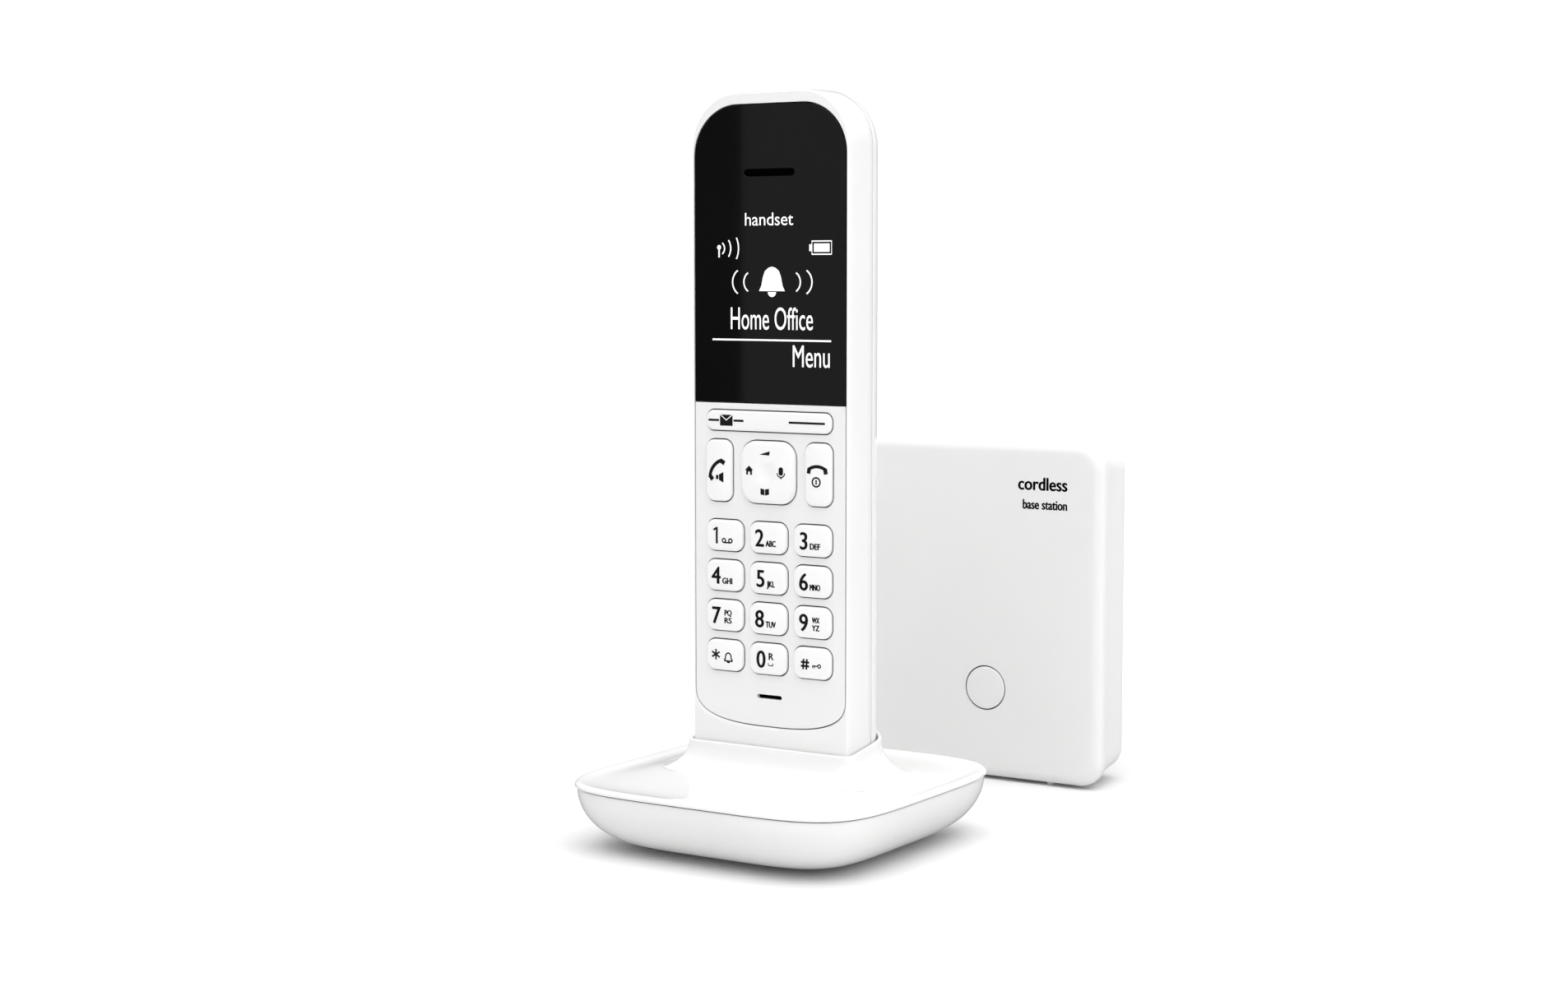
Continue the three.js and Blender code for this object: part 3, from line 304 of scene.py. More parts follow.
recess_edge = [(0.12, 2.6), (0.12, 0.3), (0.13, 0.14), (0.17, 0.04), (0.24, 0.0)]
outer_wall = [(0.72, 0.0), (0.55, 0.2), (0.42, 0.6), (0.3, 1.3), (0.2, 2.4), (0.1, 4), (0.03, 6.5), (0, 9)]
parting_edge = [(0, 10.95), (0.05, 11.08), (0.16, 11.14), (0.4, 11.15)]
front_lip = body_ring(0.72, 0)
recess_lip = fascia_ring(0.24, 0)
housing_rings = [fascia_ring(grow, depth) for grow, depth in recess_edge]
housing_rings += [blend_rings(recess_lip, front_lip, share) for share in (0.08, 0.5, 0.92)]
housing_rings += [body_ring(inset, depth) for inset, depth in outer_wall + parting_edge]
housing_rings += [body_ring(1.6, 11.15), body_ring(1.6, 3.0)]
front_shell = skin("front_housing_shell", housing_rings, wrap=True)
for side in (-1, 1):
    pocket_low = on_handset(side * CONTACT_X - 2.8, 4.2, -3)
    pocket_high = on_handset(side * CONTACT_X + 2.8, 7.8, 4.8)
    carve(front_shell, block("contact_pocket", pocket_low, pocket_high))


def moulded_skin():
    group = bpy.data.node_groups.new("moulded_skin", "ShaderNodeTree")
    socket = group.interface.new_socket
    for label in ("Grain", "Scuffs", "Edge Wear"):
        socket(label, in_out="INPUT", socket_type="NodeSocketFloat")
    for label in ("Shade", "Dullness", "Height"):
        socket(label, in_out="OUTPUT", socket_type="NodeSocketFloat")
    given, out = group.nodes.new("NodeGroupInput"), group.nodes.new("NodeGroupOutput")
    place, edge = made(group, "TexCoord"), made(group, "NewGeometry")
    grain = made(group, "TexNoise", Detail=4)
    clouds = made(group, "TexNoise", Scale=38, Detail=3)
    stretch = made(group, "Mapping", Scale=(1900, 140, 260), Rotation=(0.3, 0.5, 0.4))
    hair = made(group, "TexNoise", Scale=1, Detail=1)
    hairline = made(group, "MapRange", From_Min=0.7, From_Max=0.76)
    patchy = made(group, "MapRange", From_Min=0.48, From_Max=0.62)
    rub = made(group, "MapRange", From_Min=0.53, From_Max=0.66)
    scuff, scuffs, wear = (made(group, "Math", "MULTIPLY") for _ in range(3))
    shade_sum, dull = made(group, "Math", "MULTIPLY_ADD"), made(group, "Math", "MULTIPLY_ADD")
    shade_sum.inputs[1].default_value = 0.35
    dull.inputs[1].default_value = 0.6
    dull_less, height = made(group, "Math", "SUBTRACT"), made(group, "Math", "SUBTRACT")
    dull_less.use_clamp = True
    wire(
        group,
        (place, "Object", grain, "Vector"),
        (place, "Object", clouds, "Vector"),
        (place, "Object", stretch, "Vector"),
        (given, "Grain", grain, "Scale"),
        (stretch, "Vector", hair, "Vector"),
        (hair, "Fac", hairline, "Value"),
        (clouds, "Fac", patchy, "Value"),
        (hairline, "Result", scuff, 0),
        (patchy, "Result", scuff, 1),
        (scuff, 0, scuffs, 0),
        (given, "Scuffs", scuffs, 1),
        (edge, "Pointiness", rub, "Value"),
        (rub, "Result", wear, 0),
        (given, "Edge Wear", wear, 1),
        (grain, "Fac", shade_sum, 0),
        (clouds, "Fac", shade_sum, 2),
        (clouds, "Fac", dull, 0),
        (scuffs, 0, dull, 2),
        (dull, 0, dull_less, 0),
        (wear, 0, dull_less, 1),
        (grain, "Fac", height, 0),
        (scuffs, 0, height, 1),
        (shade_sum, 0, out, "Shade"),
        (dull_less, 0, out, "Dullness"),
        (height, 0, out, "Height"),
    )
    return group


MOULDED_SKIN = moulded_skin()


def coloured(name, light, dark, rough, grain, relief, scuffs=0.3, wear=0.3, **sockets):
    material = bpy.data.materials.new(name)
    material.use_nodes = True
    tree = material.node_tree
    shader = tree.nodes["Principled BSDF"]
    marks = made(tree, "Group")
    marks.node_tree = MOULDED_SKIN
    for label, value in (("Grain", grain), ("Scuffs", scuffs), ("Edge Wear", wear)):
        marks.inputs[label].default_value = value
    tones = made(tree, "Mix")
    tones.data_type = "RGBA"
    tones.inputs["A"].default_value = (*light, 1)
    tones.inputs["B"].default_value = (*dark, 1)
    dullness = made(tree, "MapRange", To_Min=rough[0], To_Max=rough[1])
    bump = made(tree, "Bump", Strength=0.6, Distance=relief * MM)
    wire(
        tree,
        (marks, "Shade", tones, "Factor"),
        (tones, "Result", shader, "Base Color"),
        (marks, "Dullness", dullness, "Value"),
        (dullness, "Result", shader, "Roughness"),
        (marks, "Height", bump, "Height"),
        (bump, "Normal", shader, "Normal"),
    )
    for socket, value in sockets.items():
        shader.inputs[socket.replace("_", " ")].default_value = value
    return material


def grey(level, warm=0.0):
    return (level, level * (1 - warm * 0.5), level * (1 - warm))


coat = {"Coat_Weight": 0.4, "Coat_Roughness": 0.05}
light, dark = grey(0.86, 0.004), grey(0.82, 0.006)
gloss_white = coloured("gloss_white_abs", light, dark, (0.07, 0.2), 700, 0.003, **coat)
fit(front_shell, "handset", "handset_white", gloss_white, "handset_front_housing")


# -------------------- back cover, battery door
# The rear half of the handset's casing, in the same glossy ABS. It is closed by two screws
# in the foot, and carries the ringer's grille and the well for the two cells, behind a
# door that lifts off. A near-black strip in the parting line of the two halves is painted
# shade of the gap between them.
def swings(steps, first=0):
    return [pi / 2 * step / steps for step in range(first, steps + 1)]


def back_inset(reach):
    return HANDSET["roll"] * (1 - sqrt(max(1 - reach * reach, 0)))


def back_solid(name, wall=0.0):
    start = HANDSET["parting"] + 0.15
    travel = HANDSET["depth"] - HANDSET["parting"] - wall
    rings = [body_ring(wall + 1.6, start)]
    if not wall:
        rings += [body_ring(0.4, start), body_ring(0.16, start + 0.01), body_ring(0.05, start + 0.07)]
    rings.append(body_ring(wall, start + 0.2))
    for swing in swings(20, 1):
        reach = sin(swing)
        depth = HANDSET["parting"] + travel * reach
        if depth > start + 0.3:
            rings.append(body_ring(wall + back_inset(reach), depth))
    last = HANDSET["parting"] + travel
    rings.append(body_ring(wall + HANDSET["roll"] + 0.7, last))
    return skin(name, rings)


def upright_outline(half, low, high, radius, steps=8):
    corners = [(half - radius, high - radius), (-half + radius, high - radius)]
    corners += [(-half + radius, low + radius), (half - radius, low + radius)]
    points = []
    for quarter, (x, z) in enumerate(corners):
        for step in range(steps + 1):
            turn = pi / 2 * (quarter + step / steps)
            points.append((x + radius * cos(turn), z + radius * sin(turn)))
    return points


def upright_prism(name, outline, front, back, place=on_handset):
    return skin(name, [[place(x, depth, z) for x, z in outline] for depth in (front, back)])


def slot_outline(half, middle, thin):
    return upright_outline(half, middle - thin, middle + thin, thin - 0.01)


def disc(radius, x, z, steps=40):
    turns = [2 * pi * i / steps for i in range(steps)]
    return [(x + radius * cos(turn), z + radius * sin(turn)) for turn in turns]


def screw_bore(name, x, z, steps, place):
    return skin(name, [[place(px, depth, pz) for px, pz in disc(radius, x, z)] for radius, depth in steps])


DOOR = {"half": 18, "low": 15, "high": 98, "radius": 4}
WELL = {"half": 11.75, "low": 21.4, "high": 71.1, "floor": 8.3, "wall": 1.5}
RINGER = {"z": 158, "slots": 5, "pitch": 3.2, "half": 6.5, "thin": 0.65}
GRIP = {"z": 86, "grooves": 5, "pitch": 1.8, "half": 7, "thin": 0.4}
HANDSET_SCREW = {"x": 17.2, "z": 8.2}
LEDGE_BACK, DOOR_FRONT, DOOR_WALL, OUTSIDE, CLEAR = 13.2, 13.5, 1.8, 30, 0.3


def door_outline(grow):
    low, high = DOOR["low"] - grow, DOOR["high"] + grow
    return upright_outline(DOOR["half"] + grow, low, high, DOOR["radius"] + grow)


# A near-black strip laid into a gap between two parts: painted shade of that gap.
def seam_shade_strip(name, body, rings):
    fit(skin(name, rings, wrap=True), body, "silicone", seam_shade_dark)


back_shell = back_solid("back_cover_shell")
well_half = WELL["half"] + WELL["wall"]
well_low = on_handset(-well_half, WELL["floor"] - WELL["wall"], WELL["low"] - WELL["wall"])
well_high = on_handset(well_half, LEDGE_BACK, WELL["high"] + WELL["wall"])
carve(back_shell, block("cell_well", well_low, well_high), how="UNION")
hollow_low = on_handset(-WELL["half"], WELL["floor"], WELL["low"])
hollow_high = on_handset(WELL["half"], OUTSIDE, WELL["high"])
cutters = [upright_prism("doorway", door_outline(CLEAR), LEDGE_BACK, OUTSIDE)]
cutters.append(block("cell_room", hollow_low, hollow_high))
cutters.append(upright_prism("ringer_room", disc(9.3, 0, RINGER["z"]), 8, 14.6))
for row in range(RINGER["slots"]):
    slot = slot_outline(RINGER["half"], RINGER["z"] + (row - 2) * RINGER["pitch"], RINGER["thin"])
    cutters.append(upright_prism("grille_slot", slot, 14, OUTSIDE))
for side in (-1, 1):
    steps = [(1.5, 9), (1.5, 14.1), (2.8, 14.1), (2.8, OUTSIDE)]
    cutters.append(screw_bore("screw_bore", side * HANDSET_SCREW["x"], HANDSET_SCREW["z"], steps, on_handset))
carve(back_shell, *cutters)
fit(back_shell, "handset", "handset_white", gloss_white, "handset_back_cover")

door_shell = back_solid("battery_door_shell")
carve(door_shell, upright_prism("door_edge", door_outline(0), DOOR_FRONT, OUTSIDE), how="INTERSECT")
door_cutters = [back_solid("door_inside", DOOR_WALL)]
for row in range(GRIP["grooves"]):
    groove = slot_outline(GRIP["half"] - 0.5 * row, GRIP["z"] + GRIP["pitch"] * row, GRIP["thin"])
    door_cutters.append(upright_prism("grip_groove", groove, 21.2, OUTSIDE))
carve(door_shell, *door_cutters)
fit(door_shell, "battery_door", "handset_white", gloss_white, "battery_door")
# Near-black colour of the strips in the gaps between parts: painted shade.
seam_shade_dark = coloured("seam_shade_dark", grey(0.06), grey(0.04), (0.6, 0.8), 1800, 0.01)
# Painted shade in the handset's parting line.
seam_shade_profile = [(0.34, 11.17), (0.34, 11.43), (1.3, 11.43), (1.3, 11.17)]
seam_shade_strip("parting_line_shade", "handset", [body_ring(*step) for step in seam_shade_profile])


# -------------------- display lens
# A black acrylic sheet with a hard gloss coat, cut with a slot for the earpiece and backed
# there by a black mesh with no sheen, which also paints the shade in the slot. Only its
# edge is eased, and it is glued into the recess of the housing, flush with its rim.
def meshed(curve):
    holder = bpy.data.objects.new(curve.name, curve)
    mesh = bpy.data.meshes.new_from_object(holder)
    bpy.data.objects.remove(holder)
    return mesh


def flat_outline(name, outlines, front, back, ease):
    curve = bpy.data.curves.new(name, "CURVE")
    curve.dimensions = "2D"
    curve.fill_mode = "BOTH"
    curve.extrude = (back - front) / 2 - ease
    curve.bevel_depth = ease
    curve.bevel_resolution = 2
    curve.offset = -ease
    for outline in outlines:
        spline = curve.splines.new("POLY")
        spline.points.add(len(outline) - 1)
        spline.use_cyclic_u = True
        for point, (x, z) in zip(spline.points, outline):
            point.co = (x, z, 0, 1)

    def stood_up(work):
        bmesh.ops.remove_doubles(work, verts=work.verts, dist=0.0005)
        for vert in work.verts:
            vert.co = on_handset(vert.co.x, (front + back) / 2 - vert.co.z, vert.co.y)
        bmesh.ops.recalc_face_normals(work, faces=work.faces)

    piece = placed(name, reworked(meshed(curve), stood_up))
    shade(piece, 12)
    return piece


def fascia_outline(grow, low=None, high=None):
    place = on_handset(0, 0, 0)
    ring = [((point.x - place.x) / MM, (point.z - place.z) / MM) for point in fascia_ring(grow, 0)]
    if high is None:
        side = [point for point in ring if point[1] > low]
        return [(ring[0][0], low)] + side + [(-ring[0][0], low)]
    return [(-ring[0][0], high)] + ring[-FOOT_STEPS:] + [(ring[0][0], high)]


SHEET, EDGE_GAP, SPLIT_GAP = 1.3, 0.15, 0.12
EAR_Z, EAR_THIN = 155.5, 0.9
ear_slot = slot_outline(7.6, EAR_Z, EAR_THIN)
lens_shape = fascia_outline(-EDGE_GAP, low=FASCIA["split"] + SPLIT_GAP)
lens_sheet = flat_outline("lens_sheet", [lens_shape, ear_slot], 0, SHEET, 0.12)
hard_coat = {"scuffs": 0.25, "wear": 0.1, "Specular_IOR_Level": 0.25}
lens_black = coloured("lens_gloss_black", grey(0.0022), grey(0.0034), (0.02, 0.06), 300, 0.0004, **hard_coat)
fit(lens_sheet, "handset", "lens_black", lens_black, "display_lens")
# Black with no sheen: painted shade behind the earpiece slot and between the keys.
painted_shade_black = coloured("painted_shade_black", grey(0.002), grey(0.001), (0.85, 1), 4000, 0.01, Specular_IOR_Level=0.0)
mesh_outline = upright_outline(9, EAR_Z - 1.6, EAR_Z + 1.6, 1.5)
# Black sheet behind the earpiece slot: a mesh, and painted shade in the slot.
earpiece_mesh_and_shade = flat_outline("earpiece_mesh_and_shade", [mesh_outline], SHEET + 0.01, SHEET + 0.3, 0.02)
fit(earpiece_mesh_and_shade, "handset", "dark_plastic", painted_shade_black)


# -------------------- keypad plate
# A satin white plate, moulded with one eased opening for each key and a slot for the
# microphone. Its lower edge is bowed, and it is glued in below the lens. A black sheet
# behind it and a thin dark rim round each key are painted shade, darkening the gaps
# between the keys and the plate.
NUMBER_ROWS = [("key_star", "key_0", "key_hash"), ("key_7", "key_8", "key_9")]
NUMBER_ROWS += [("key_4", "key_5", "key_6"), ("key_1", "key_2", "key_3")]
KEYS = {}
NUMBER_KEY = {"wide": 11.3, "high": 8.05, "round": 2.5, "proud": 1.2, "back": 3}
ACTION_KEY = {**NUMBER_KEY, "wide": 8, "high": 16}
ROW_PITCH, COLUMN_PITCH, LOWEST_ROW, ACTION_ROW = 10.47, 13.4, 30.7, 79
for row, names in enumerate(NUMBER_ROWS):
    for column, name in enumerate(names):
        KEYS[name] = {"x": (column - 1) * COLUMN_PITCH, "z": LOWEST_ROW + row * ROW_PITCH, **NUMBER_KEY}
for name, side in (("call_key", -1), ("end_key", 1)):
    KEYS[name] = {"x": side * 15.15, "z": ACTION_ROW, **ACTION_KEY}
KEYS["nav_key"] = {"x": 0, "z": ACTION_ROW, "wide": 16.4, "high": 16.1, "round": 4.4}
KEYS["nav_key"].update(proud=1.5, back=2.4)
KEYS["soft_key_bar"] = {"x": 0, "z": 92.05, "wide": 38, "high": 5.2, "round": 2.1, "proud": 0.8, "back": 3}
KEY_GAP, MIC_Z, MIC_THIN = 0.28, 20.7, 0.55


def key_outline(key, grow, steps=10):
    low, high = key["z"] - key["high"] / 2 - grow, key["z"] + key["high"] / 2 + grow
    points = upright_outline(key["wide"] / 2 + grow, low, high, key["round"] + grow, steps)
    return [(x + key["x"], z) for x, z in points]


mic_slot = slot_outline(3.8, MIC_Z, MIC_THIN)
plate_shapes = [fascia_outline(-EDGE_GAP, high=FASCIA["split"] - SPLIT_GAP), mic_slot]
plate_shapes += [key_outline(key, KEY_GAP) for key in KEYS.values()]
plate_sheet = flat_outline("keypad_sheet", plate_shapes, 0, SHEET, 0.16)
satin_white = coloured(
    "satin_white_plate", grey(0.83, 0.004), grey(0.79, 0.006), (0.34, 0.46), 1500, 0.006, scuffs=0.2
)
fit(plate_sheet, "handset", "plate_white", satin_white, "keypad_plate")
# Dark plastic of the inner parts, used too for the rims round the keys as painted shade.
dark_plastic = coloured("dark_plastic", grey(0.03), grey(0.018), (0.4, 0.62), 1400, 0.012)
sheet_shade_shapes = [fascia_outline(-0.6, high=FASCIA["split"] - 0.5)]
rim_shade_shapes = []
for name, key in KEYS.items():
    clear = 0.2 if name == "nav_key" else 0.1
    sheet_shade_shapes.append(key_outline(key, clear))
    rim_shade_shapes += [key_outline(key, clear), key_outline(key, KEY_GAP - 0.005)]
GAP_SHADE_BACK = 1.42
# Near-black sheet behind the plate: painted shade between the keys and the plate.
gap_shade_sheet = flat_outline("keypad_gap_shade_sheet", sheet_shade_shapes, GAP_SHADE_BACK, 1.6, 0.02)
fit(gap_shade_sheet, "handset", "dark_plastic", painted_shade_black)
# Thin dark rims filling the gap round each key: painted shade of those gaps.
gap_shade_rims = flat_outline("key_gap_shade_rims", rim_shade_shapes, 0.14, GAP_SHADE_BACK, 0.02)
fit(gap_shade_rims, "handset", "dark_plastic", dark_plastic)


# -------------------- number keys
# Twelve hard caps in glossy white, with softly crowned faces and rounded shoulders, that
# press down on the keymat. Their legends are pad printed in black ink.
def crown(key, u, v):
    bulge = (2 * u / key["wide"]) ** 2 + (2 * v / key["high"]) ** 2
    return key["proud"] - 0.16 * bulge


def key_cap(name, key, edge=0.75, surface=crown, inner=(0.9, 0.75, 0.55, 0.3)):
    def ring(inset, share, drop, depth=None):
        points = []
        for x, z in key_outline(key, -inset):
            u, v = (x - key["x"]) * share, (z - key["z"]) * share
            y = depth if depth is not None else drop - surface(key, u, v)
            points.append(on_handset(key["x"] + u, y, key["z"] + v))
        return points

    back = key["back"]
    rings = [ring(0.15, 0.6, 0, back), ring(0.15, 1, 0, back), ring(0, 1, 0, back - 0.15)]
    for swing in swings(6):
        rings.append(ring(edge * (1 - cos(swing)), 1, edge * (1 - sin(swing))))
    rings += [ring(edge, share, 0) for share in inner]
    return skin(name, rings)


def letter_height():
    curve = bpy.data.curves.new("measure", "FONT")
    curve.body = "H"
    mesh = meshed(curve)
    tall = max(vert.co.y for vert in mesh.vertices)
    bpy.data.meshes.remove(mesh)
    return tall


LETTER_HEIGHT = letter_height()


def letters(text, cap, x, z, hold="left", squeeze=1.0, span=None):
    curve = bpy.data.curves.new("letters", "FONT")
    curve.body = text
    curve.resolution_u = 5
    mesh = reworked(meshed(curve), lambda work: bmesh.ops.remove_doubles(work, verts=work.verts, dist=0.0001))
    size = cap / LETTER_HEIGHT
    if span:
        ends = [vert.co.x for vert in mesh.vertices]
        squeeze = span / size / (max(ends) - min(ends))
    points = [(vert.co.x * size * squeeze, vert.co.y * size) for vert in mesh.vertices]
    faces = [tuple(face.vertices) for face in mesh.polygons]
    bpy.data.meshes.remove(mesh)
    low, high = min(p[0] for p in points), max(p[0] for p in points)
    shift = x - {"left": low, "middle": (low + high) / 2, "right": high}[hold]
    return [(px + shift, pz + z) for px, pz in points], faces


def heavier(shape, by):
    points, faces = shape
    moves = ((-by, 0), (by, 0), (0, by / 2), (0, -by / 2))
    return [([(x + dx, z + dz) for x, z in points], faces) for dx, dz in moves]


def stroke(points, width, closed=False):
    count = len(points)
    left, right = [], []
    for i, (x, z) in enumerate(points):
        before = points[i - 1] if closed or i else points[i]
        after = points[(i + 1) % count] if closed or i < count - 1 else points[i]
        ahead = Vector((after[0] - before[0], after[1] - before[1])).normalized()
        left.append((x - ahead.y * width / 2, z + ahead.x * width / 2))
        right.append((x + ahead.y * width / 2, z - ahead.x * width / 2))
    faces = []
    for i in range(count if closed else count - 1):
        j = (i + 1) % count
        faces.append((i, j, count + j, count + i))
    return left + right, faces


def filled(points):
    return list(points), [tuple(range(len(points)))]


def arc(x, z, radius, start, end, steps=12, stretch=1.0):
    turns = [radians(start + (end - start) * i / steps) for i in range(steps + 1)]
    return [(x + radius * stretch * cos(turn), z + radius * sin(turn)) for turn in turns]


def diced(flat, polygons, pitch=0.7):
    work = bmesh.new()
    verts = [work.verts.new((x, z, 0)) for x, z in flat]
    for polygon in polygons:
        work.faces.new([verts[i] for i in polygon])
    for axis in (0, 1):
        low, high = min(point[axis] for point in flat), max(point[axis] for point in flat)
        for line in range(ceil(low / pitch), ceil(high / pitch)):
            normal = (1, 0, 0) if axis == 0 else (0, 1, 0)
            parts = list(work.verts) + list(work.edges) + list(work.faces)
            point = [n * line * pitch for n in normal]
            bmesh.ops.bisect_plane(work, geom=parts, plane_co=point, plane_no=normal)
    work.verts.index_update()
    points = [(vert.co.x, vert.co.y) for vert in work.verts]
    faces = [tuple(vert.index for vert in face.verts) for face in work.faces]
    work.free()
    return points, faces


def print_on(name, shapes, place, lift=0.03):
    points, faces = [], []
    for shape in shapes:
        flat, polygons = diced(*shape)
        start = len(points)
        count = len(flat)
        points += [place(x, z, lift) for x, z in flat]
        points += [place(x, z, -lift) for x, z in flat]
        used = {}
        for polygon in polygons:
            faces.append(tuple(start + i for i in polygon))
            faces.append(tuple(start + count + i for i in reversed(polygon)))
            for i, j in zip(polygon, polygon[1:] + polygon[:1]):
                used[(i, j)] = True
        for i, j in used:
            if (j, i) not in used:
                faces.append((start + j, start + i, start + count + i, start + count + j))
    return solid(name, points, faces)


def on_key(key, surface=crown):
    return lambda x, z, lift: on_handset(key["x"] + x, -surface(key, x, z) - lift, key["z"] + z)


def small_bell(x, z, size):
    left = [(-0.5, -0.36), (-0.5, -0.28), (-0.36, -0.12), (-0.33, 0.2), (-0.2, 0.42), (0, 0.5)]
    shape = left + [(-px, pz) for px, pz in reversed(left[:-1])]
    outline = [(x + px * size, z + pz * size) for px, pz in shape]
    clapper = arc(x, z - 0.36 * size, size * 0.16, 180, 360)
    return [stroke(outline, size * 0.15, closed=True), stroke(clapper, size * 0.15)]


def tail_marks(name):
    small = 1.5
    if name == "key_1":
        rings = [stroke(arc(x, -1.3, 0.52, 0, 345), 0.38, closed=True) for x in (0.2, 2.2)]
        return rings + [stroke([(0.2, -1.82), (2.2, -1.82)], 0.38)]
    if name == "key_star":
        return small_bell(1.5, -0.5, 2.5)
    if name == "key_hash":
        shaft = stroke([(0.5, -0.5), (2.1, -0.5)], 0.3)
        bits = [stroke([(x, -0.5), (x, -1.05)], 0.28) for x in (0.55, 1.1)]
        return [shaft, *bits, stroke(arc(2.5, -0.5, 0.42, 0, 345), 0.3, closed=True)]
    if name == "key_0":
        bracket = stroke([(0.5, -0.9), (0.5, -1.5), (1.9, -1.5), (1.9, -0.9)], 0.26)
        return heavier(letters("R", 1.7, 0.7, 0.0), 0.1) + [bracket]
    words = {"key_2": "ABC", "key_3": "DEF", "key_4": "GHI", "key_5": "JKL", "key_6": "MNO", "key_8": "TUV"}
    if name in words:
        left = 0.1 if name == "key_5" else -0.25
        return heavier(letters(words[name], small, left, -2.1, span=2.3 if name == "key_5" else 2.95), 0.1)
    lines = {"key_7": ("PQ", "RS"), "key_9": ("WX", "YZ")}[name]
    pair = [letters(word, 1.4, 1.45, z, hold="middle", span=2.1) for word, z in zip(lines, (0.05, -1.95))]
    return heavier(pair[0], 0.09) + heavier(pair[1], 0.09)


def head_mark(name):
    if name == "key_star":
        spokes = []
        for i in range(3):
            turn = radians(90 + 60 * i)
            across, up = cos(turn), sin(turn)
            ends = [(-2.4 + 1.45 * across, 0.1 + 1.4 * up), (-2.4 - 1.4 * across, 0.1 - 1.4 * up)]
            spokes.append(stroke(ends, 0.46))
        return spokes
    if name == "key_hash":
        bars = [stroke([(-3.0, z), (-0.5, z)], 0.52) for z in (-0.75, 0.25)]
        return bars + [stroke([(x - 0.1, -1.6), (x + 0.1, 1.1)], 0.52) for x in (-2.25, -1.25)]
    if name == "key_1":
        return [stroke([(-2.05, 2.1), (-2.05, -2.2)], 0.62), stroke([(-2.05, 1.95), (-3.1, 1.3)], 0.52)]
    middle = {"key_4": -2.3, "key_0": -1.75, "key_5": -1.9}.get(name, -2.2)
    return heavier(letters(name[-1], 4.3, middle, -2.2, hold="middle", squeeze=0.92), 0.14)


lacquer = {"wear": 0.2, "Coat_Weight": 0.3}
light, dark = grey(0.9, 0.003), grey(0.86, 0.005)
key_white = coloured("key_gloss_white", light, dark, (0.12, 0.26), 1200, 0.003, **lacquer)
matt = {"Specular_IOR_Level": 0.1}
legend_ink = coloured("legend_ink", grey(0.005), grey(0.01), (0.5, 0.7), 5000, 0.002, **matt)


def printed_key(name, label, shapes, surface=crown, **cap):
    piece = key_cap(label + "_cap", KEYS[name], surface=surface, **cap)
    fit(piece, name, "key_white", key_white, name)
    legend = print_on(label + "_legend", shapes, on_key(KEYS[name], surface))
    fit(legend, name, "legend_ink", legend_ink)


for name in [key for names in NUMBER_ROWS for key in names]:
    printed_key(name, name, head_mark(name) + tail_marks(name))


# -------------------- call key and end key
# Two taller caps of the same moulding, either side of the navigation key. One is printed
# with a lifted receiver and a loudspeaker, the other with a laid down receiver and the
# on-off sign.
def receiver(x, z, size, tilt):
    turn = radians(tilt)

    def turned(points):
        return [
            (
                x + size * (px * cos(turn) - pz * sin(turn)),
                z + size * (px * sin(turn) + pz * cos(turn)),
            )
            for px, pz in points
        ]

    cups = [stroke(turned([(side * 0.78, 0.1), (side * 0.86, -0.36)]), 0.36 * size) for side in (-1, 1)]
    return [stroke(turned(arc(0, -1.24, 1.5, 124, 56, 18)), 0.28 * size), *cups]


horn = {"x": 0.65, "z": -1.75}
call_shapes = receiver(-0.6, 0.5, 3.3, 50)
for points in (
    [(-1.15, -0.55), (-0.4, -0.55), (-0.4, 0.55), (-1.15, 0.55)],
    [(-0.2, -0.7), (1.15, -1.4), (1.15, 1.4), (-0.2, 0.7)],
):
    call_shapes.append(filled([(horn["x"] + x, horn["z"] + z) for x, z in points]))
end_shapes = receiver(0.05, 1.4, 3.0, 0)
end_shapes.append(stroke(arc(-0.2, -1.8, 1.15, 0, 352, 26), 0.42, closed=True))
end_shapes.append(stroke([(-0.2, -2.4), (-0.2, -1.2)], 0.42))
printed_key("call_key", "call_key", call_shapes)
printed_key("end_key", "end_key", end_shapes)


# -------------------- navigation key
# One square rocker with a thumb dish in the middle, that tips four ways on a silicone pad.
# Each side carries a small printed sign: volume, home, microphone and directory.
def dished(key, u, v):
    away = min(hypot(u, v) / 3.7, 1)
    return crown(key, u, v) - 0.45 * (1 - away * away) ** 2


nav_inner = tuple(1 - 0.07 * step for step in range(1, 14))
nav_shapes = [filled([(-2.05, 4.65), (0.95, 4.45), (1.15, 5.55)])]
house = [(-6.45, 0.5), (-5.2, 1.65), (-3.95, 0.5), (-4.3, 0.5), (-4.3, -0.7), (-4.85, -0.7), (-4.85, 0.1)]
house += [(-5.55, 0.1), (-5.55, -0.7), (-6.1, -0.7), (-6.1, 0.5)]
nav_shapes.append(filled(house))
nav_shapes.append(filled(arc(4.5, 0.95, 0.66, 0, 180) + arc(4.5, 0.1, 0.66, 180, 360)))
nav_shapes += [stroke(arc(4.5, 0.1, 1.12, 180, 360), 0.3), stroke([(4.5, -1.0), (4.5, -1.45)], 0.36)]
for side in (-1, 1):
    page = [(0.1, -4.3), (1.3, -4.05), (1.3, -5.6), (0.1, -5.85)]
    nav_shapes.append(filled([(side * x - 0.4, z) for x, z in page]))
printed_key("nav_key", "navigation", nav_shapes, dished, edge=1.1, inner=nav_inner)


# -------------------- soft key bar
# One long rocking cap under the display, in the same glossy white as the other keys. It is
# printed with a line at each end and an envelope.
def bar_crown(key, u, v):
    return key["proud"] - 0.1 * (2 * v / key["high"]) ** 2


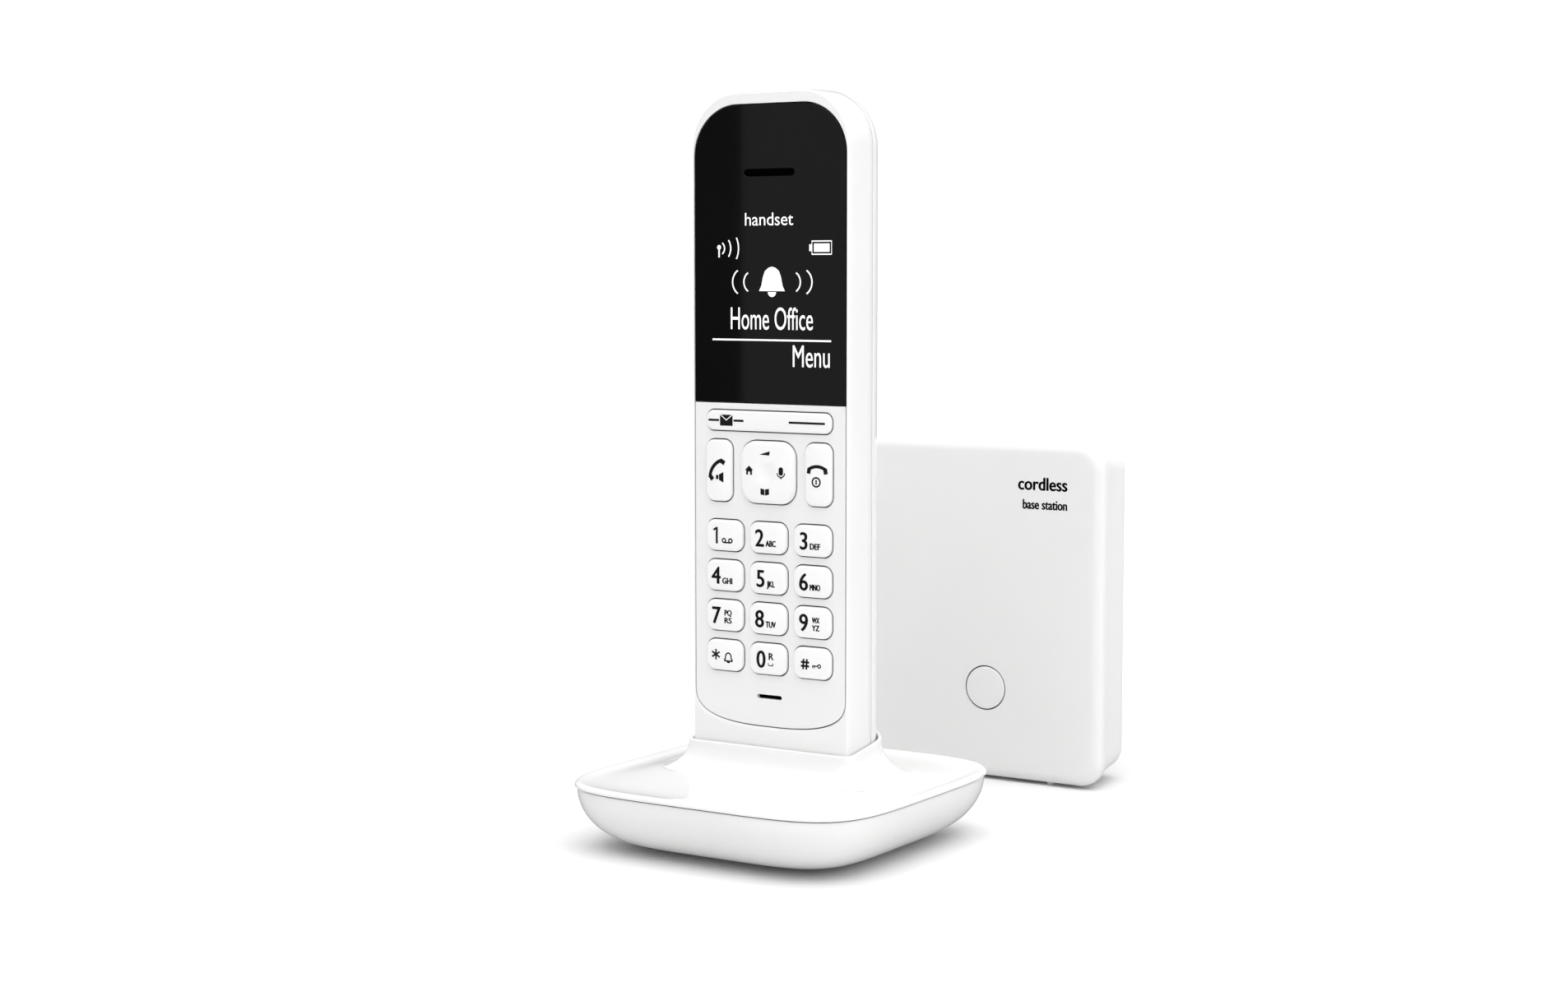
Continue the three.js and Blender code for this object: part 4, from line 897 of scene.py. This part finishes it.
bar_shapes = [stroke([(x0, 0), (x1, 0)], 0.55) for x0, x1 in ((-18.2, -14.9), (-10.4, -7.3), (6.5, 17.3))]
bar_shapes.append(filled([(-14.6, -1.4), (-10.7, -1.4), (-10.7, 1.35), (-12.65, -0.1), (-14.6, 1.35)]))
bar_shapes.append(filled([(-14.3, 1.45), (-12.65, 0.25), (-11.0, 1.45)]))
printed_key("soft_key_bar", "soft_key", bar_shapes, bar_crown, edge=0.6)


# -------------------- display
# The lit picture of the display shows white through the black lens: signal, battery, a
# ringing bell and two plain words. The word above it is printed on the lens, yet it takes
# the same glowing ink: on that word the glow is painted light.
def on_lens(x, z, lift):
    return on_handset(x, -lift, z)


# Glowing ink for the lit display; the word printed on the lens glows too, a painted glow.
display_ink = coloured("display_ink", grey(0.86), grey(0.8), (0.4, 0.6), 4000, 0.001)
ink_tree = display_ink.node_tree
ink_shader = ink_tree.nodes["Principled BSDF"]
ink_shader.inputs["Emission Strength"].default_value = 0.45
wire(ink_tree, (ink_tree.nodes["Mix"], "Result", ink_shader, "Emission Color"))
screen = [letters("handset", 3.2, 0.0, 142.1, hold="middle", span=14.6)]
screen += [stroke([(-15.3, 134.0), (-15.3, 136.2)], 0.42), filled(arc(-15.3, 136.6, 0.6, 0, 345, 14))]
for reach, half_turn in ((1.7, 55), (3.6, 36), (6.0, 27)):
    screen.append(stroke(arc(-15.3, 136.3, reach, -half_turn, half_turn, 14), 0.36))
screen.append(stroke([(12.9, 134.7), (18.7, 134.7), (18.7, 138.0), (12.9, 138.0)], 0.35, closed=True))
screen.append(filled([(12.1, 135.5), (12.9, 135.5), (12.9, 137.2), (12.1, 137.2)]))
screen.append(filled([(13.5, 135.3), (18.1, 135.3), (18.1, 137.4), (13.5, 137.4)]))
bell_x, bell_z = 0.9, 127.9
bell_side = [(-3.9, -2.5), (-3.2, -1.1), (-2.7, 1.2), (-2.1, 2.6), (-1.1, 3.4), (0, 3.7)]
bell = bell_side + [(-x, z) for x, z in reversed(bell_side[:-1])]
screen.append(filled([(bell_x + x, bell_z + z) for x, z in bell]))
screen.append(filled(arc(bell_x, bell_z - 2.75, 1.25, 180, 360)))
for side in (-1, 1):
    for away, tall in ((8.4, 2.7), (11.2, 3.4)):
        swing = (180, 0)[side > 0]
        middle = bell_x + side * (away - 2.4)
        screen.append(stroke(arc(middle, bell_z - 0.2, tall, swing - 60, swing + 60, 14, 0.95), 0.38))
screen.append(letters("Home Office", 5.6, 0.75, 115.6, hold="middle", span=24.9))
screen.append(stroke([(-17.4, 112.9), (18.6, 112.9)], 0.45))
screen.append(letters("Menu", 5.5, 18.2, 106.2, hold="right", span=11.0))
fit(print_on("display_picture", screen, on_lens), "handset", "display_ink", display_ink)


# -------------------- inside the handset
# Carried over from the casing's inside: keymat and pad in silicone, the board in glass
# epoxy, the display module, the sound parts, two AAA cells with their springs and strap,
# gilt charging contacts and zinc plated screws.
def metal(name, light, dark, rough, grain, relief):
    return coloured(name, light, dark, rough, grain, relief, scuffs=0.8, wear=0.6, Metallic=1.0)


def finish_nodes(material, *names):
    for name in names:
        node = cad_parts[name]
        if not node.material_slots:
            node.data.materials.append(material)
        for slot in node.material_slots:
            slot.material = material


silicone = coloured("silicone_grey", grey(0.34), grey(0.28), (0.6, 0.85), 1600, 0.01)
board_green = coloured("board_green", (0.02, 0.14, 0.05), (0.01, 0.09, 0.035), (0.25, 0.5), 260, 0.02)
glass_light, glass_dark = (0.02, 0.024, 0.028), (0.012, 0.014, 0.018)
display_glass = coloured("display_glass", glass_light, glass_dark, (0.03, 0.12), 400, 0.0005)
steel = metal("zinc_plated_steel", grey(0.62), (0.5, 0.5, 0.48), (0.22, 0.45), 2200, 0.004)
sleeve_light, sleeve_dark = (0.05, 0.17, 0.08), (0.035, 0.13, 0.06)
cell_sleeve = coloured("cell_sleeve", sleeve_light, sleeve_dark, (0.2, 0.4), 300, 0.003, Coat_Weight=0.5)
contact_gold = metal("contact_gold", (0.85, 0.6, 0.25), (0.75, 0.5, 0.18), (0.15, 0.35), 2600, 0.002)
finish_nodes(silicone, "keymat", "nav_pad")
finish_nodes(board_green, "handset_circuit_board", "cradle_contact_board", "station_circuit_board")
finish_nodes(display_glass, "lcd_module")
finish_nodes(dark_plastic, "lcd_holder", "earpiece_receiver", "ringer_speaker", "paging_switch")
finish_nodes(dark_plastic, "cradle_power_inlet", "station_line_jack", "station_power_jack")
finish_nodes(steel, "microphone", "battery_bridge")
finish_nodes(cell_sleeve, "battery_cell_left", "battery_cell_right")
for side in ("left", "right"):
    for kind in ("battery_spring_", "handset_screw_", "cradle_screw_", "station_screw_"):
        finish_nodes(steel, kind + side)
    finish_nodes(contact_gold, "charge_contact_" + side, "cradle_contact_" + side)


# -------------------- cradle cover
# The glossy white top of the charging cradle: a shallow dish with a swept neck, rising to
# a close collar that holds the foot of the handset. Two slots in its floor let the
# contacts through.
CRADLE_POINTS = 200
RIM = {"half": 44.8, "front": 44.6, "rear": 44.6, "middle": 0.0, "rolled": 0.0}
RIM.update(front_square=4.8, rear_square=4.8)
COLLAR = {"half": 24.45, "front": 11.75, "rear": 10.65, "middle": 4.5, "rolled": 1.0}
COLLAR.update(front_square=20, rear_square=3.6)
SEAM, RIM_TOP, WELL_FLOOR, RIM_ROUND = 16.5, 18.0, 18.0, 0.9
on_cradle = measured_from(cradle_x, cradle_y, 0)


def grown(outline, by):
    return {**outline, **{side: outline[side] + by for side in ("half", "front", "rear")}}


def between(a, b, share):
    return {key: a[key] + (b[key] - a[key]) * share for key in a}


def level_ring(outline, height):
    points = []
    rolled = outline["rolled"]
    for i in range(CRADLE_POINTS):
        turn = 2 * pi * i / CRADLE_POINTS
        sine, cosine = sin(turn), cos(turn)
        end = "front" if sine < 0 else "rear"
        power, reach = 2 / outline[end + "_square"], outline[end]
        x = outline["half"] * copysign(abs(cosine) ** power, cosine)
        y = outline["middle"] + reach * copysign(abs(sine) ** power, sine)
        if rolled and sine >= 0:
            swing = min(turn, pi - turn) * 1.5
            flat = outline["half"] - HANDSET["roll"]
            if swing < pi / 2:
                close_x = flat + HANDSET["roll"] * cos(swing)
            else:
                close_x = flat * (1 - (swing - pi / 2) / (pi / 4))
            close_y = outline["middle"] + reach * sin(min(swing, pi / 2))
            x += rolled * (copysign(close_x, cosine) - x)
            y += rolled * (close_y - y)
        points.append(on_cradle(x, y, height(y) if callable(height) else height))
    return points


def collar_top(y):
    return 26.0 + 0.158 * (y + 7.25)


wall = 0.8
neck_foot = {**grown(COLLAR, wall + 8), "front_square": 4, "rear_square": 3, "rolled": 0.0}
cover_rings = [level_ring(grown(COLLAR, -0.6), WELL_FLOOR), level_ring(COLLAR, WELL_FLOOR)]
for turn in range(7):
    swing = pi * turn / 6
    round_off = wall / 2
    outline = grown(COLLAR, round_off * (1 - cos(swing)))
    fall = round_off * (1 - sin(swing))
    cover_rings.append(level_ring(outline, lambda y, fall=fall: collar_top(y) - fall))
for swing in swings(14, 1):
    outline = between(grown(COLLAR, wall), neck_foot, 1 - cos(swing))

    def neck_height(y, drop=sin(swing)):
        top = collar_top(y) - 0.7
        return top + (RIM_TOP + 0.4 - top) * drop

    cover_rings.append(level_ring(outline, neck_height))
dish_edge = grown(RIM, -2.2)
for step in range(1, 11):
    share = step / 10
    sunk = 0.9 * sin(pi / 2 * min(share / 0.75, 1))
    dip = 0.4 - sunk + 0.33 * max(0, (share - 0.75) / 0.25) ** 2
    cover_rings.append(level_ring(between(neck_foot, dish_edge, share), RIM_TOP + dip))
cover_rings.append(level_ring(grown(RIM, -1.4), RIM_TOP - 0.04))
for swing in swings(6):
    rounded = grown(RIM, -RIM_ROUND * (1 - sin(swing)))
    cover_rings.append(level_ring(rounded, RIM_TOP - RIM_ROUND * (1 - cos(swing))))
lip = grown(RIM, -2.8)
underside, pocket = SEAM - 0.8, WELL_FLOOR + 1.6
inner = [(RIM, SEAM + 0.3), (grown(RIM, -0.15), SEAM + 0.15)]
inner += [(lip, SEAM + 0.15), (grown(lip, -0.1), underside)]
for out, height in ((5.5, underside), (1.8, pocket), (0.2, pocket), (0, WELL_FLOOR - 2)):
    inner.append((grown(COLLAR, wall + out), height))
cover_rings += [level_ring(outline, height) for outline, height in inner]
cradle_shell = skin("cradle_cover_shell", cover_rings)
slots = []
for side in (-1, 1):
    slot_low = on_cradle(side * CONTACT_X - 1.8, -2.1, 10)
    slots.append(block("pin_slot", slot_low, on_cradle(side * CONTACT_X + 1.8, 0.5, 22)))
carve(cradle_shell, *slots)
coat = {"Coat_Weight": 0.5, "Coat_Roughness": 0.04}
light, dark = grey(0.88, 0.003), grey(0.84, 0.005)
cradle_white = coloured("cradle_gloss_white", light, dark, (0.05, 0.15), 600, 0.002, **coat)
fit(cradle_shell, "cradle", "cradle_white", cradle_white, "cradle_cover")


# -------------------- cradle tray and feet
# The bowl under the cover, drawn in to a flat base, with two screws from below and a
# gate for the power inlet at the back. It stands on four pressed-in rubber feet, and a
# near-black strip between it and the cover is painted shade of the seam.
TRAY_FLOOR, CRADLE_SCREW_X, FOOT_AT = 1.3, 24.6, 16.5


def bowl_ring(inner_wall, share):
    swing = pi / 2 * share
    top = SEAM - 0.15
    inset = 15.5 * (1 - sin(swing)) + inner_wall
    return level_ring(grown(RIM, -0.5 - inset), top - (top - TRAY_FLOOR - inner_wall) * cos(swing))


tray_rings = [level_ring(grown(RIM, -16 - 0.8), TRAY_FLOOR)]
tray_rings += [bowl_ring(0, step / 20) for step in range(20)]
tray_rings += [level_ring(grown(RIM, -0.5), SEAM - 0.35), level_ring(grown(RIM, -0.65), SEAM - 0.17)]
tray_rings += [level_ring(grown(RIM, -2.35), SEAM - 0.17), level_ring(grown(RIM, -2.5), SEAM - 0.35)]
tray_rings += [bowl_ring(2, step / 12) for step in range(11, -1, -1)]
tray_shell = skin("cradle_tray_shell", tray_rings)


def level_post(name, x, y, steps):
    rings = [[on_cradle(px, py, height) for px, py in disc(radius, x, y, 36)] for radius, height in steps]
    return skin(name, rings)


boss_steps = [(4.6, TRAY_FLOOR), (4.6, 6.2)]
bore_steps = [(2.8, -2), (2.8, 4.1), (1.5, 4.1), (1.5, 9)]
bosses = [level_post("screw_boss", side * CRADLE_SCREW_X, 0, boss_steps) for side in (-1, 1)]
carve(tray_shell, *bosses, how="UNION")
cutters = [level_post("screw_bore", side * CRADLE_SCREW_X, 0, bore_steps) for side in (-1, 1)]
feet = []
for end, y in (("front", -FOOT_AT), ("rear", FOOT_AT)):
    feet += [(end + "_left", -FOOT_AT, y), (end + "_right", FOOT_AT, y)]
cutters += [level_post("foot_pocket", x, y, [(4.8, -2), (4.8, 2.1)]) for _, x, y in feet]
cutters.append(block("inlet_gate", on_cradle(-5.8, 25.7, 3.9), on_cradle(5.8, 50, 12.5)))
carve(tray_shell, *cutters)
fit(tray_shell, "cradle", "cradle_white", cradle_white, "cradle_tray")
# Near-black strip in the seam between tray and cover: painted shade of the seam.
seam_shade_profile = [(0.8, SEAM - 0.14), (0.8, SEAM + 0.12), (2.3, SEAM + 0.12), (2.3, SEAM - 0.14)]
seam_shade_strip("cradle_seam_shade", "cradle", [level_ring(grown(RIM, -inset), z) for inset, z in seam_shade_profile])
foot_rubber = coloured("foot_rubber", grey(0.05), grey(0.03), (0.7, 0.95), 2400, 0.02)
foot_steps = [(2.5, 0.0), (3.9, 0.0), (4.3, 0.12), (4.5, 0.45), (4.5, 1.8), (2.5, 1.8)]
for place, x, y in feet:
    foot = level_post("rubber_foot_" + place, x, y, foot_steps)
    fit(foot, "cradle", "foot_rubber", foot_rubber, "cradle_foot_" + place)


# -------------------- base station
# An upright box of fine-textured white ABS in two halves: a cushioned front cover, with
# the round paging button and the printed words, and a drawn-in rear shell with two jacks
# and sunk screws. A dark strip between the halves and a dark ring round the button are
# painted shade of those gaps. It stands on four moulded nubs.
station_low, station_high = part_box("station_front_cover")
station_x = (station_low.x + station_high.x) / 2
STATION = {"half": 42.1, "low": 0.9, "high": 99.6, "radius": 7}
on_station = measured_from(station_x, station_low.y, 0)
NUB_X, STATION_SCREW, BUTTON = 25, {"x": 30, "z": 88}, {"x": 5.3, "z": 27.2}


def station_ring(inset, depth):
    radius = max(STATION["radius"] - inset / 2, 2)
    low, high = STATION["low"] + inset, STATION["high"] - inset
    outline = upright_outline(STATION["half"] - inset, low, high, radius, 12)
    return [on_station(x, depth, z) for x, z in outline]


def nub(x, y, top):
    rings = []
    for radius, height in ((0.7, 0.0), (0.95, 0.0), (1.1, 0.2), (1.1, top)):
        rings.append([on_station(px, py, height) for px, py in disc(radius, x, y, 24)])
    return skin("nub", rings)


cushion = [(6.5, 0.0), (5.0, 0.0)]
cushion += [(3 * (1 - sin(turn)), 2.4 * (1 - cos(turn))) for turn in swings(14)]
cushion += [(0, 4.45), (0.05, 4.6), (0.2, 4.7), (2, 4.7), (4.5, 2.0), (6.5, 2.0)]
station_front = skin("station_cover_shell", [station_ring(inset, depth) for inset, depth in cushion])
carve(station_front, *[nub(side * NUB_X, 3.8, 1.9) for side in (-1, 1)], how="UNION")
button_hole = disc(6.62, BUTTON["x"], BUTTON["z"], 64)
carve(station_front, upright_prism("button_hole", button_hole, -3, 9, on_station))
station_white = coloured(
    "station_textured_white", grey(0.83, 0.003), grey(0.79, 0.005), (0.36, 0.5), 2600, 0.012, scuffs=0.15
)
fit(station_front, "station", "station_white", station_white, "station_front_cover")

rear = [(0.95, 5.15), (0.8, 5.3), (0.85, 5.6)]
rear += [(2.5 + 6.3 * (1 - cos(turn)), 19 + 7 * sin(turn)) for turn in swings(12)]
rear_inner = [(4.5 + 6.3 * (1 - cos(turn)), 19 + 5 * sin(turn)) for turn in swings(12)]
rear_profile = [(12.5, 24.0)] + rear_inner[::-1] + [(2.8, 5.15)] + rear + [(10.5, 26.0)]
station_back = skin("station_rear_casing", [station_ring(inset, depth) for inset, depth in rear_profile])
joined = [nub(side * NUB_X, 18, 4.3) for side in (-1, 1)]
for side in (-1, 1):
    post = disc(3.8, side * STATION_SCREW["x"], STATION_SCREW["z"])
    joined.append(upright_prism("screw_post", post, 9.6, 25, on_station))
carve(station_back, *joined, how="UNION")
bore = [(1.5, 6), (1.5, 17.4), (2.8, 17.4), (2.8, OUTSIDE)]
cutters = []
for side in (-1, 1):
    cutters.append(screw_bore("screw_bore", side * STATION_SCREW["x"], STATION_SCREW["z"], bore, on_station))
for x, half_wide, half_high in ((-16, 6.8, 5.8), (12, 5.8, 4.8)):
    gate_low = on_station(x - half_wide, 12, 18 - half_high)
    cutters.append(block("jack_gate", gate_low, on_station(x + half_wide, OUTSIDE, 18 + half_high)))
carve(station_back, *cutters)
fit(station_back, "station", "station_white", station_white, "station_rear_shell")
# Near-black strip in the seam between the halves: painted shade of the seam.
seam_shade_profile = [(0.97, 4.72), (0.97, 5.13), (1.9, 5.13), (1.9, 4.72)]
seam_shade_strip("station_seam_shade", "station", [station_ring(*step) for step in seam_shade_profile])


def button_ring(radius, depth):
    return [on_station(x, depth, z) for x, z in disc(radius, BUTTON["x"], BUTTON["z"], 64)]


button_profile = [(4, 5.2), (6.22, 5.2), (6.22, 0.1), (6.15, -0.08), (6.0, -0.18), (5.8, -0.2), (3, -0.2)]
button_cap = skin("paging_button_cap", [button_ring(*step) for step in button_profile])
fit(button_cap, "paging_button", "station_white", station_white, "paging_button")
# Near-black ring in the gap round the button: painted shade of the gap.
seam_shade_profile = [(6.24, 0.5), (6.6, 0.5), (6.6, 1.2), (6.24, 1.2)]
seam_shade_strip("button_gap_shade", "station", [button_ring(*step) for step in seam_shade_profile])

station_words = heavier(letters("cordless", 3.6, 31.2, 86.1, hold="right", span=15.5), 0.16)
station_words += heavier(letters("base station", 2.7, 31.2, 80.6, hold="right", span=14), 0.13)
station_print = print_on("station_print", station_words, lambda x, z, lift: on_station(x, -lift, z))
fit(station_print, "station", "legend_ink", legend_ink)
